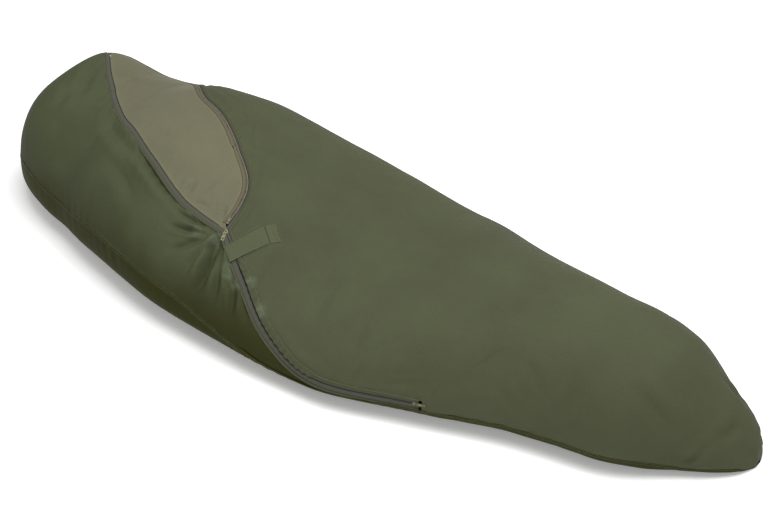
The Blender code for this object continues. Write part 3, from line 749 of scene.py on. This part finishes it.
def settle(piece, border, growth, pressure, most):
    """Lets the cloth buckle: a little too large for the seams that hold it, with air behind it."""
    scene = bpy.context.scene
    held = piece.vertex_groups.new(name="held")
    weights = np.clip(1 - (border - 0.004) / 0.02, 0, 1)
    for index in np.nonzero(weights > 0)[0]:
        held.add([int(index)], float(weights[index]), "REPLACE")
    cloth = piece.modifiers.new("cloth", "CLOTH")
    cloth.settings.quality = 5
    cloth.settings.mass = 0.15
    cloth.settings.tension_stiffness = 18
    cloth.settings.compression_stiffness = 10
    cloth.settings.shear_stiffness = 6
    cloth.settings.bending_stiffness = 0.25
    cloth.settings.air_damping = 3
    cloth.settings.vertex_group_mass = "held"
    cloth.settings.shrink_min = cloth.settings.shrink_max = -growth
    cloth.settings.use_pressure = True
    cloth.settings.uniform_pressure_force = pressure
    cloth.settings.effector_weights.gravity = 0
    cloth.collision_settings.use_collision = False
    cloth.point_cache.frame_start = 1
    cloth.point_cache.frame_end = SETTLE_FRAMES
    for number in range(1, SETTLE_FRAMES + 1):
        scene.frame_set(number)
    count = len(piece.data.vertices)
    before, after = np.empty(count * 3), np.empty(count * 3)
    piece.data.vertices.foreach_get("co", before)
    evaluated = piece.evaluated_get(bpy.context.evaluated_depsgraph_get())
    evaluated.data.vertices.foreach_get("co", after)
    before, after = before.reshape(-1, 3), after.reshape(-1, 3)
    moved = after - before
    far = np.linalg.norm(moved, axis=1, keepdims=True)
    moved = moved * np.minimum(1, most / np.maximum(far, 1e-9))
    piece.modifiers.remove(cloth)
    piece.vertex_groups.remove(held)
    scene.frame_set(1)
    piece.data.vertices.foreach_set("co", (before + moved).reshape(-1))
    piece.data.update()


def under_flaps(points):
    """0 under the tab and the storm flap, which lie on the cloth, rising to 1 a little way off."""
    strap = patch_grid((TAB_FREE, TAB_END), 10, 24)[0].reshape(-1, 2)
    line = finer(FLAP_LINE, 5)
    flap = [offset(line, side) for side in (0.005, 0.012, 0.020)]
    away = np.full(len(points), 1.0)
    for place_covered in surface(*np.concatenate([strap, *flap]).T):
        away = np.minimum(away, np.linalg.norm(points - place_covered, axis=1))
    return ease(np.clip((away - 0.006) / 0.025, 0, 1))


def shape_panel(piece, grid, folds, seed, undulation, seam_puckers=1.0, growth=0.0025, pressure=0.8,
                most=0.004, flaps_on_it=False):
    """Simulates a panel, then presses its folds, seam puckers and slow undulations into it."""
    points = surface(grid[..., 0], grid[..., 1])
    border = border_distance(points).reshape(-1)
    points = points.reshape(-1, 3)
    outward = slopes(grid[..., 0], grid[..., 1])[2].reshape(-1, 3)
    if growth:
        settle(piece, border, growth, pressure, most)
    height = undulation * random_height(points, 0.22, seed)
    height = height + 0.4 * undulation * random_height(points, 0.09, seed + 1)
    for line, width, depth, start_full, end_full in folds:
        height = height + fold(points, line, width, depth, start_full, end_full)
    height = height + seam_puckers * puckers(points, border, seed + 2)
    height = height * (1 - np.exp(-(border / 0.006) ** 2))
    shaped = np.empty(len(points) * 3)
    piece.data.vertices.foreach_get("co", shaped)
    shaped = shaped.reshape(-1, 3) + outward * height[:, None]
    if flaps_on_it:
        shaped = points + (shaped - points) * under_flaps(points)[:, None]
    shaped[:, 2] = np.maximum(shaped[:, 2], 0.0005)
    piece.data.vertices.foreach_set("co", shaped.reshape(-1))
    piece.data.update()


def flat_area(grid):
    """The area of a panel before it is folded, and the sides of the cut it comes from."""
    points = surface(grid[..., 0], grid[..., 1])
    first = np.cross(points[1:, :-1] - points[:-1, :-1], points[:-1, 1:] - points[:-1, :-1])
    second = np.cross(points[1:, 1:] - points[1:, :-1], points[1:, 1:] - points[:-1, 1:])
    area = (np.linalg.norm(first, axis=2).sum() + np.linalg.norm(second, axis=2).sum()) / 2
    columns = points.shape[1]
    long = max(lengths(points[:, column])[-1] for column in (0, columns // 2, columns - 1))
    wide = max(lengths(row)[-1] for row in points[:: max(1, len(points) // 20)])
    return area, (max(wide, 1.02 * area / long), long)


def declare(grid):
    area, flat = flat_area(grid)
    area = max(area, 0.31 * flat[0] * flat[1])


# ---- The panels ----


def tub_line(along, side):
    near = smooth_line(TUB_SEAM, along)
    return np.stack([along, near if side == "near" else 180 - near], axis=1)


def seam_stations():
    seam_start, seam_end = HEAD_SEAM[0][0], HEAD_SEAM[1][0]
    cap = ENDS[0] + (seam_start - ENDS[0]) * np.linspace(0, 1, 7) ** 2
    seam = np.linspace(seam_start, seam_end, 4)
    wall = np.linspace(seam_end, CHAIN[-1, 0], len(HOOD_LINE) + 1)[1:]
    hood_near = np.concatenate([cap[:-1], seam, wall])
    body_near = CHAIN[-1, 0] + (ENDS[1] - CHAIN[-1, 0]) * np.sin(np.linspace(0, math.pi / 2, 15))
    count = len(BODY_LINE) + 2 + len(body_near)
    body_far = seam_start + (ENDS[1] - seam_start) * np.sin(np.linspace(0, math.pi / 2, count))
    return cap, hood_near, body_near, body_far


def hood_grid(columns):
    cap, hood_near, _, _ = seam_stations()
    lower = offset(tub_line(hood_near, "near"), SEAM_GAP / 2)
    far = offset(tub_line(cap[:-1], "far"), -SEAM_GAP / 2)
    start, end = (np.array(point) for point in HEAD_SEAM)
    start[1] = far[-1, 1]
    seam = start + (end - start) * np.linspace(0, 1, 4)[:, None] - (SEAM_GAP / LENGTH, 0)
    zip_edge = offset(HOOD_LINE, -(HOOD_TAPE_EDGE + PANEL_TRIM_GAP))
    upper = np.concatenate([far, seam, zip_edge])
    return between(finer(lower, 4), finer(upper, 4), np.linspace(0, 1, columns))


def body_grid(columns):
    _, _, body_near, body_far = seam_stations()
    zip_edge = offset(BODY_LINE, BODY_TAPE_EDGE + PANEL_TRIM_GAP)
    corner = np.array([HEAD_SEAM[1]]) + (SEAM_GAP / LENGTH, 0)
    low = offset(tub_line(body_near, "near"), SEAM_GAP / 2)
    near = np.concatenate([corner, zip_edge, zip_edge[-1:] + (0.0031, 0), low])
    near[len(zip_edge) + 2, 0] = max(near[len(zip_edge) + 2, 0], near[len(zip_edge) + 1, 0] + 0.0001)
    far = offset(tub_line(body_far, "far"), -SEAM_GAP / 2)
    far[:, 0] = np.maximum(far[:, 0], HEAD_SEAM[0][0] + SEAM_GAP / LENGTH)
    return between(finer(near, 4), finer(far, 4), np.linspace(0, 1, columns))


def tub_grid():
    cap, hood_near, body_near, body_far = seam_stations()
    near_along = np.concatenate([hood_near, body_near])
    halves = (cap[-3:-1] + cap[-2:]) / 2
    far_along = np.sort(np.concatenate([cap[:-1], halves, body_far]))
    near = finer(offset(tub_line(near_along, "near"), -SEAM_GAP / 2), 3)
    far = finer(offset(tub_line(far_along, "far"), SEAM_GAP / 2), 3)
    corner = np.full(len(near), 180 + FLOOR_ANGLE)
    columns = []
    for share in np.linspace(0, 1, 22):
        columns.append(near * (1 - share) + np.stack([near[:, 0], corner], axis=1) * share)
    for share in np.linspace(0, 1, 34)[1:-1]:
        along = near[:, 0] * (1 - share) + far[:, 0] * share
        columns.append(np.stack([along, corner + share * (180 - 2 * FLOOR_ANGLE)], axis=1))
    far_corner = np.stack([far[:, 0], 540 - corner], axis=1)
    far_round = np.stack([far[:, 0], far[:, 1] + 360], axis=1)
    for share in np.linspace(0, 1, 22):
        columns.append(far_corner * (1 - share) + far_round * share)
    return np.stack(columns, axis=1)[:, ::-1]


def mark_painted_sheen(piece, points):
    """An attribute that is 1 in the middle of each painted highlight spot."""
    painted_sheen = np.zeros(len(points))
    for (along, angle), radius in PAINTED_SHEEN_SPOTS:
        away = np.linalg.norm(points - surface(along, angle), axis=1)
        painted_sheen = np.maximum(painted_sheen, np.exp(-(away / radius) ** 2))
    piece.data.attributes.new("painted_sheen", "FLOAT", "POINT").data.foreach_set("value", painted_sheen)


def panel(name, grid, paint, slot, nodes, folds, seed, undulation, **shaping):
    points = surface(grid[..., 0], grid[..., 1])
    piece = cloth_grid(name, points)
    # marks where the painted highlights go
    mark_painted_sheen(piece, points.reshape(-1, 3))
    shape_panel(piece, grid, folds, seed, undulation, **shaping)
    thicken(piece, FABRIC)
    smoother(piece)
    finish_piece(piece, paint, nodes)
    declare(grid)
    return piece


def panels():
    # the hood cloth carries painted shade near the ground
    panel("hood_shell", hood_grid(64), fabric("hood_cloth", HOOD_OLIVE, low=HOOD_PAINTED_SHADE), "olive_fabric",
          ("hood_panel",), HOOD_FOLDS, 3, 0.0035)
    panel("top_shell", body_grid(96), fabric("top_cloth", OLIVE), "olive_fabric", ("top_panel",),
          BODY_FOLDS, 11, 0.0030, flaps_on_it=True)
    # the tub colour holds painted shade on top of the cloth's own darker tone
    tub_cloth = fabric("tub_cloth", TUB_OLIVE_AND_SHADE, roughness=0.66, pitch=0.0008)
    panel("tub_shell", tub_grid(), tub_cloth, "tub_fabric", ("base_panel",), [], 23, 0.0025, growth=0.0)


# ---- Seams, hems and stitching ----


TRIM_CLOTH = 0.0006  # thickness of the strips drawn along seams and hems


def felled_seam(name, line, paint):
    """A flat-felled seam over the line. Returns its two rows of stitches."""
    fell = band(name, line, -FELL_WIDTH / 2, FELL_WIDTH / 2, 0.0002, 0.0010)
    finish_piece(thicken(fell, TRIM_CLOTH), paint)
    return [(line, FELL_WIDTH * 0.32, 0.0009), (line, -FELL_WIDTH * 0.32, 0.0009)]


def seams():
    """Flat-felled seams between the walls and the tub and over the head, and hems along the zip."""
    olive = fabric("seam_cloth", shade(OLIVE, 0.93), crinkle=0.5)
    dark = fabric("tub_seam_cloth", shade(TUB_OLIVE_AND_SHADE, 1.05), crinkle=0.5)
    thread = nylon("thread", THREAD, 0.55)
    rows = []
    along = np.linspace(0.0003, 0.992, 420)
    for side in ("near", "far"):
        rows += felled_seam("tub_seam_" + side, tub_line(along, side), dark)
    start, end = (np.array(point) for point in HEAD_SEAM)
    head = start + (end - start) * np.linspace(0, 1.15, 60)[:, None]
    rows += felled_seam("head_seam", head, olive)
    hood_line, body_line = finer(HOOD_LINE), finer(BODY_LINE)
    hood_side = -(HOOD_TAPE_EDGE - 0.001)
    hem = band("hood_hem", hood_line, hood_side - HEM_WIDTH, hood_side, 0.0004, 0.0014)
    finish_piece(thicken(hem, TRIM_CLOTH), olive)
    rows.append((hood_line, hood_side - HEM_WIDTH * 0.7, 0.0016))
    # Away from the fork the body's hem covers the tape, as far as the coil
    from_fork = lengths(surface(*body_line.T))
    from_fork = np.abs(from_fork - from_fork[FORK * FINE])
    beside_coil = COIL_HALF_SPAN + COIL_RADIUS + 0.0006
    inner = np.interp(from_fork, [0.03, 0.09], [BODY_TAPE_EDGE - 0.001, beside_coil])
    hem = band("top_hem", body_line, inner, BODY_TAPE_EDGE + HEM_WIDTH, 0.0003, 0.0014)
    finish_piece(thicken(hem, TRIM_CLOTH), olive)
    rows.append((body_line, BODY_TAPE_EDGE + HEM_WIDTH * 0.6, 0.0015))
    stitching("seam_stitching", rows, thread)
    return olive, thread


def zip_tapes():
    tape = ribbed_tape("zip_tape", TAPE_GREY)
    inner = COIL_HALF_SPAN + COIL_RADIUS * 0.6
    pieces = (("hood_tape", HOOD_LINE, -HOOD_TAPE_EDGE, -inner, "zip_tape_hood"),
              ("top_tape", BODY_LINE, inner, BODY_TAPE_EDGE, "zip_tape_body"))
    for name, line, low, high, node in pieces:
        piece = band(name, finer(line), low, high, -ZIP_DEPTH + TAPE / 2, 0.0004)
        finish_piece(thicken(piece, TAPE), tape, (node,))


def coil(name, line, side, radius, pitch, paint, node):
    """One side of a coil zip: a nylon strand that bulges at every turn."""
    turns = 6
    # The closed stretch runs straight from station to station, as the sliders do
    route = np.concatenate([finer(line[:FORK]), line[FORK:]])
    points, _, across, outward = frames_along(route, side, -ZIP_DEPTH)
    length = lengths(points)
    at = np.arange(0, length[-1], pitch / 4)
    points, across, outward = (
        np.stack([np.interp(at, length, column) for column in rows.T], axis=1)
        for rows in (points, across, outward)
    )
    angle = np.linspace(0, 2 * math.pi, turns, endpoint=False)
    bulge = radius * (0.85 + 0.15 * np.cos(2 * math.pi * at / pitch))[:, None, None]
    rings = points[:, None] + across[:, None] * np.cos(angle)[None, :, None] * bulge
    rings = rings + outward[:, None] * np.sin(angle)[None, :, None] * bulge
    made = new_object(name, rings.reshape(-1, 3), grid_faces(len(points), turns, wrap=True))
    return finish_piece(made, paint, (node,))


def zips():
    zip_tapes()
    dark = nylon("coil", COIL_DARK, 0.45)
    light = nylon("net_coil", NET_COIL, 0.45)
    for name, line, side, node in (("hood_coil", HOOD_LINE, -COIL_HALF_SPAN, "zip_coil_hood"),
                                   ("top_coil", BODY_LINE, COIL_HALF_SPAN, "zip_coil_body")):
        coil(name, line, side, COIL_RADIUS, COIL_PITCH, dark, node)
    return light


# ---- The face net ----


def net(light):
    far = np.concatenate([BODY_LINE[1 : FORK - 2], BODY_LINE[FORK - 1 : FORK]])
    tape_in = TRIM_GAP + NET_TAPE_WIDTH
    chain = tape_in + TRIM_GAP + NET_COIL_RADIUS + NET_COIL_HALF_SPAN
    hem_out = chain + NET_COIL_HALF_SPAN + NET_COIL_RADIUS + TRIM_GAP
    hem_in = hem_out + NET_HEM
    height = -ZIP_DEPTH + FABRIC / 2
    tan = fabric("net_cloth", TAN, roughness=0.58, sheen=0.06, pitch=0.0009, blotch=0.07, crinkle=0.22)
    hem_paint = fabric("net_hem_cloth", (TAN[0] * 0.92, TAN[1] * 0.84, TAN[2] * 0.84), crinkle=0.3)
    left, right = finer(HOOD_LINE[: FORK + 1], 5), finer(BODY_LINE[: FORK + 1], 5)
    width = np.linalg.norm(surface(*left.T) - surface(*right.T), axis=1)
    near = np.clip(1 - width / 0.03, 0, 1)
    far_side = offset(right, 0.005 * near - hem_in * np.clip(width / (2 * hem_in), 0, 1))
    grid = between(offset(left, -0.005 * near), far_side, np.linspace(0, 1, 34))
    sunk = height - 0.002 * np.clip(1 - width / 0.02, 0, 1)
    sunk = np.broadcast_to(sunk[:, None], grid.shape[:2])
    piece = cloth_grid("face_net", surface(grid[..., 0], grid[..., 1], sunk))
    shape_panel(piece, grid, NET_FOLDS, 31, 0.0018, seam_puckers=0.35, growth=0.006, pressure=0.4,
                most=0.006)
    thicken(piece, FABRIC * 0.6)
    smoother(piece)
    finish_piece(piece, tan, ("insect_net",))
    declare(grid)
    hem = band("net_hem_band", finer(far), -hem_in, -hem_out, height, 0.0012)
    finish_piece(thicken(hem, TRIM_CLOTH), hem_paint, ("net_hem",))
    tape = band("net_tape", finer(far), -tape_in, -TRIM_GAP, -ZIP_DEPTH + TAPE / 2, 0.0002, 4)
    finish_piece(thicken(tape, TAPE), ribbed_tape("net_tape", NET_COIL), ("net_zip_tape",))
    for name, side, node in (("net_coil_far", -chain + NET_COIL_HALF_SPAN, "net_coil_outer"),
                             ("net_coil_near", -chain - NET_COIL_HALF_SPAN, "net_coil_inner")):
        coil(name, far, side, NET_COIL_RADIUS, NET_COIL_PITCH, light, node)
    return far, chain


# ---- Storm flap and tab ----


def storm_flap(olive, thread):
    """A narrow flap beside the closed zip, gathered along its stitched edge."""
    line = finer(FLAP_LINE, 10)
    shares = np.linspace(0, 1, 12)
    grid = between(offset(line, 0.0027), offset(line, 0.020), shares)
    points = surface(grid[..., 0], grid[..., 1])
    along = lengths(points[:, 6])[:, None]
    gathers = 1 + np.cos(2 * math.pi * along / 0.019 + np.sin(along * 40))
    rise = (FLAP_GAP + FLAP) + 0.0032 * (1 - shares) * gathers
    rise = rise * np.clip(along / 0.004, 0.3, 1)
    piece = cloth_grid("zip_flap", surface(grid[..., 0], grid[..., 1], rise), 0.0015)
    smoother(thicken(piece, FLAP))
    # the flap gets the painted highlights too
    mark_painted_sheen(piece, points.reshape(-1, 3))
    finish_piece(piece, olive, ("storm_flap",))
    declare(grid)
    stitching("flap_stitching", [(line, 0.0175, FLAP_GAP + FLAP + 0.0003)], thread)


def patch_grid(ends, rows, columns):
    """A grid of (along, angle) between two pairs of corners, and each place's share of the way."""
    (a, b), (c, d) = (np.array(pair, float) for pair in ends)
    across = np.linspace(0, 1, rows)[:, None, None]
    share = np.linspace(0, 1, columns)[None, :, None]
    first, last = a * (1 - across) + b * across, c * (1 - across) + d * across
    return first * (1 - share) + last * share, share[..., 0]


def part_way(pair, other, share):
    return tuple(tuple(p * (1 - share) + q * share for p, q in zip(first, second))
                 for first, second in zip(pair, other))


def between_points(first, second, low, high, count):
    """Stations on the straight line between two places, from one share of the way to another."""
    first, second = np.array(first), np.array(second)
    return first + (second - first) * np.linspace(low, high, count)[:, None]


def tab(thread):
    """The strap over the zip, sewn down at its far end."""
    grid, share = patch_grid((TAB_FREE, part_way(TAB_STITCH, TAB_FREE, 0.01)), 16, 40)
    height = (TAB_LIFT + FLAP) * (1 - share) + (TAB_AT_STITCH + FLAP / 2) * share
    across = np.linspace(-1, 1, 16)[:, None]
    side_hems = np.exp(-((np.abs(across) - 0.86) / 0.12) ** 2)
    end_hem = np.exp(-((share - 0.06) / 0.05) ** 2)
    hem = 0.0007 * (side_hems + end_hem)
    height = height + hem + 0.0012 * np.sin(share * 7) * (1 - share) * (1 - across ** 2)
    strap = cloth_grid("zip_strap", surface(grid[..., 0], grid[..., 1], height), 0.0015)
    smoother(thicken(strap, FLAP))
    olive = fabric("strap_cloth", shade(OLIVE, 1.16), crinkle=0.5)
    finish_piece(strap, olive, ("zip_tab",), "zip_tab")
    declare(grid)
    edges = [between_points(TAB_FREE[k], TAB_STITCH[k], 0.04, 0.96, 40) for k in (0, 1)]
    lift = np.mean([TAB_LIFT, TAB_AT_STITCH]) + FLAP + 0.0009
    rows = [(edges[0], 0.003, lift), (edges[1], -0.003, lift)]
    stitching("strap_stitching", rows, thread, "zip_tab")
    grid, share = patch_grid((part_way(TAB_STITCH, TAB_END, 0.08), TAB_END), 14, 8)
    height = np.full(grid.shape[:2], FLAP_GAP + FLAP)
    end = cloth_grid("strap_end", surface(grid[..., 0], grid[..., 1], height), 0.0015)
    smoother(thicken(end, FLAP))
    finish_piece(end, olive, ("tab_sewn_end",))
    line = between_points(*TAB_STITCH, 0.04, 0.96, 30)
    rows = [(line, side, FLAP_GAP + FLAP + 0.0003) for side in (0.004, 0.011)]
    stitching("strap_end_stitching", rows, thread)


# ---- Sliders ----


def place(line, station, ahead, side=0.0, height=0.0):
    """Frame at a distance after a station of a line: travel, far-side and outward directions."""
    moved = offset(line, side)
    first, second = surface(moved[station : station + 2, 0], moved[station : station + 2, 1], height)
    travel = (second - first) / np.linalg.norm(second - first)
    _, _, normal = slopes(*moved[station : station + 2].mean(axis=0)[:, None])
    normal = normal[0] - travel * (normal[0] @ travel)
    normal = normal / np.linalg.norm(normal)
    across = np.cross(normal, travel)
    made = np.eye(4)
    made[:3] = np.stack([travel, across, normal, first + travel * ahead], axis=1)
    return Matrix(made.tolist())


def rectangle(start, end, half):
    return [(start, -half), (end, -half), (end, half), (start, half)]


def outline(points, corner):
    """A closed outline with its corners rounded, in the plane of a plate."""
    made = []
    count = len(points)
    for number in range(count):
        here = np.array(points[number], float)
        before = np.array(points[number - 1], float)
        after = np.array(points[(number + 1) % count], float)
        to_before = (before - here) / np.linalg.norm(before - here)
        to_after = (after - here) / np.linalg.norm(after - here)
        for t in np.linspace(0, 1, 5):
            start, end = here + to_before * corner, here + to_after * corner
            made.append((1 - t) ** 2 * start + 2 * t * (1 - t) * here + t * t * end)
    return made


def add_line(curve, points):
    """Adds a line with straight sides through these points to the curve."""
    spline = curve.splines.new("POLY")
    spline.points.add(len(points) - 1)
    for point, where in zip(spline.points, points):
        point.co = (*where, 1)
    return spline


def plate(outlines, thickness, edge):
    """A flat plate with these outlines, holes included, and rounded edges. Returns its mesh."""
    curve = bpy.data.curves.new("plate", "CURVE")
    curve.dimensions = "2D"
    curve.fill_mode = "BOTH"
    curve.extrude = thickness / 2 - edge
    curve.bevel_depth = edge
    curve.bevel_resolution = 2
    curve.offset = -edge
    for points in outlines:
        add_line(curve, [(x, y, 0) for x, y in points]).use_cyclic_u = True
    return curve_mesh(curve)


def curve_mesh(curve):
    """The curve's mesh. The curve itself is removed."""
    wire = add_object("wire", curve)
    bpy.context.view_layer.update()
    data = bpy.data.meshes.new_from_object(wire.evaluated_get(bpy.context.evaluated_depsgraph_get()))
    bpy.data.objects.remove(wire)
    bpy.data.curves.remove(curve)
    return data


def joined(name, parts, world):
    """One object from several meshes, each with its own place."""
    shape = bmesh.new()
    for data, matrix in parts:
        data.transform(matrix)
        shape.from_mesh(data)
        bpy.data.meshes.remove(data)
    bmesh.ops.remove_doubles(shape, verts=shape.verts, dist=1e-6)
    made = bpy.data.meshes.new(name)
    shape.to_mesh(made)
    shape.free()
    made.transform(world)
    made.polygons.foreach_set("use_smooth", [True] * len(made.polygons))
    piece = add_object(name, made)
    sharp = piece.modifiers.new("sharp", "EDGE_SPLIT")
    sharp.split_angle = math.radians(38)
    return piece


def slider(name, node, world, scale, coil_radius, paint):
    """A zip slider: two shield-shaped plates with rounded edges, a web between the coils, and a bail."""
    length, width, thick = (scale * v for v in SLIDER)
    reach = coil_radius + SLIDER_CLEARANCE
    gap = reach + thick / 2
    shield = [(-length / 2, -width * 0.33), (length * 0.18, -width / 2), (length / 2, -width * 0.42),
              (length / 2, width * 0.42), (length * 0.18, width / 2), (-length / 2, width * 0.33)]
    parts = []
    for sign, share in ((1, 1.0), (-1, 0.92)):
        points = outline([(x, y * share) for x, y in shield], 0.0016 * scale)
        parts.append((plate([points], thick, thick * 0.3), Matrix.Translation((0, 0, sign * gap))))
    web = outline(rectangle(-length * 0.45, length * 0.05, 0.0003 * scale), 0.0001 * scale)
    parts.append((plate([web], 2 * gap, 0.00002), Matrix.Identity(4)))
    top = reach + thick
    arch = bpy.data.curves.new("bail", "CURVE")
    arch.dimensions = "3D"
    arch.bevel_depth = BAIL_WIRE * scale
    arch.bevel_resolution = 4
    arch.use_fill_caps = True
    radius = BAIL_RADIUS * scale
    bow = [(radius * math.cos(a), radius * math.sin(a)) for a in np.linspace(0, math.pi, 17)]
    route = [(radius, -thick / 2), *bow, (-radius, -thick / 2)]
    add_line(arch, [(x, 0, top + z) for x, z in route])
    parts.append((curve_mesh(arch), Matrix.Identity(4)))
    piece = joined(name, parts, world)
    finish_piece(piece, paint, (node,), node)
    return top


def puller(name, node, world, scale, top, turn, paint):
    """A flat pull with a window round the bail, a raised grip pad and a hole near its end."""
    length, width, thick = (scale * v for v in PULLER)
    window, window_width = (scale * v for v in PULLER_WINDOW)
    bar = PULLER_BAR * scale
    rise = top + 0.0003 + bar / 2
    pivot = world @ Matrix.Translation((0, 0, rise)) @ Matrix.Rotation(math.radians(turn), 4, "Z")
    outer = outline(rectangle(-bar / 2, length, width / 2), 0.0016 * scale)
    inside = outline(rectangle(bar / 2, bar / 2 + window, window_width / 2), 0.0006 * scale)
    circle = [(length * 0.82 + PULLER_HOLE * scale * math.cos(a), PULLER_HOLE * scale * math.sin(a))
              for a in np.linspace(0, 2 * math.pi, 24, endpoint=False)]
    parts = [(plate([outer, inside[::-1], circle[::-1]], thick, thick * 0.25), Matrix.Identity(4))]
    grip = outline(rectangle(length * 0.42, length * 0.68, width * 0.30), 0.001 * scale)
    parts.append((plate([grip], thick * 1.5, thick * 0.25), Matrix.Identity(4)))
    piece = joined(name, parts, pivot)
    return finish_piece(piece, paint, (node,), node)


def chord(line, station):
    ends = surface(line[station : station + 2, 0], line[station : station + 2, 1])
    return float(np.linalg.norm(ends[1] - ends[0]))


def sliders(net_far, net_chain):
    metal = worn_metal("slider_metal", METAL)
    turned = Matrix.Rotation(math.pi, 4, "Z")
    head = place(HOOD_LINE, FORK, HEAD_SLIDER_AHEAD, height=-ZIP_DEPTH)
    top = slider("main_slider", "head_slider", head, 1.0, COIL_RADIUS, metal)
    puller("main_pull", "head_puller", head, 1.0, top, -HEAD_PULLER_TURN, metal)
    last = len(HOOD_LINE) - 2
    foot = place(HOOD_LINE, last, chord(HOOD_LINE, last) - SLIDER[0] / 2, height=-ZIP_DEPTH) @ turned
    top = slider("lower_slider", "foot_slider", foot, FOOT_SLIDER_SCALE, COIL_RADIUS, metal)
    puller("lower_pull", "foot_puller", foot, FOOT_SLIDER_SCALE, top, 180.0, metal)
    last = len(net_far) - 2
    ahead = chord(net_far, last) - SLIDER[0] * NET_SLIDER_SCALE * 0.6
    small = place(net_far, last, ahead, side=-net_chain, height=-ZIP_DEPTH) @ turned
    top = slider("small_slider", "net_slider", small, NET_SLIDER_SCALE, NET_COIL_RADIUS, metal)
    puller("small_pull", "net_puller", small, NET_SLIDER_SCALE, top, 0.0, metal)
    return metal


def packed_parts(metal):
    """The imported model's own small parts keep their shape and get finished materials."""
    patch = fabric("patch_pile", PATCH, roughness=0.95, sheen=0.8, pitch=0.0012, crinkle=0.8)
    backing = fabric("seam_tape_film", shade(TUB_OLIVE_AND_SHADE, 0.8), roughness=0.4, crinkle=0.2)
    paints = {"tab_hook_patch": patch, "tab_loop_patch": patch, "seam_tape_near": backing,
              "seam_tape_far": backing, "zip_top_stop": metal, "zip_bottom_stop": metal}
    for name, paint in paints.items():
        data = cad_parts[name].data
        data.materials.clear()
        data.materials.append(paint)


# ---- Camera, light and floor ----

CAMERA_TURN = 38.0
CAMERA_RISE = 37.8
CAMERA_LENS = 68.4
CAMERA_TARGET = Vector((0.067, 0.088, 0.12))
CAMERA_DISTANCE = 3.895
LIGHTS_AIM = (0, 0, 0.1)


def camera():
    turn, rise = math.radians(CAMERA_TURN), math.radians(CAMERA_RISE)
    back = Vector((math.sin(turn) * math.cos(rise), -math.cos(turn) * math.cos(rise), math.sin(rise)))
    lens = bpy.data.cameras.new("camera")
    lens.lens = CAMERA_LENS
    lens.sensor_width = 36
    made = add_object("camera", lens)
    made.location = CAMERA_TARGET + back * CAMERA_DISTANCE
    made.rotation_euler = back.to_track_quat("Z", "Y").to_euler()
    bpy.context.scene.camera = made


def area_light(name, location, size, power):
    lamp = bpy.data.lights.new(name, "AREA")
    lamp.shape = "SQUARE"
    lamp.size = size
    lamp.energy = power
    made = add_object(name, lamp)
    made.location = location
    made.rotation_euler = (Vector(location) - Vector(LIGHTS_AIM)).to_track_quat("Z", "Y").to_euler()


def studio():
    scene = bpy.context.scene
    scene.view_settings.view_transform = "Standard"
    world = bpy.data.worlds.new("studio")
    world.use_nodes = True
    sky = world.node_tree.nodes["Background"]
    sky.inputs["Color"].default_value = (1.0, 1.0, 1.0, 1)
    sky.inputs["Strength"].default_value = WORLD_LIGHT
    scene.world = world
    area_light("key", (0.7, -0.35, 3.6), 2.4, 130)
    area_light("back", (0.0, 2.8, 2.4), 2.0, 25)
    floor = new_object("floor", [(-9, -9, 0), (9, -9, 0), (9, 9, 0), (-9, 9, 0)], [(0, 1, 2, 3)])
    paint, _, _, shader = new_material("floor")
    shader.inputs["Base Color"].default_value = (0.93, 0.93, 0.93, 1)
    shader.inputs["Roughness"].default_value = 0.9
    shader.inputs["Emission Color"].default_value = (1, 1, 1, 1)
    shader.inputs["Emission Strength"].default_value = FLOOR_GLOW
    floor.data.materials.append(paint)


def main():
    camera()
    studio()
    panels()
    olive, thread = seams()
    light = zips()
    net_far, net_chain = net(light)
    storm_flap(olive, thread)
    tab(thread)
    metal = sliders(net_far, net_chain)
    packed_parts(metal)


main()
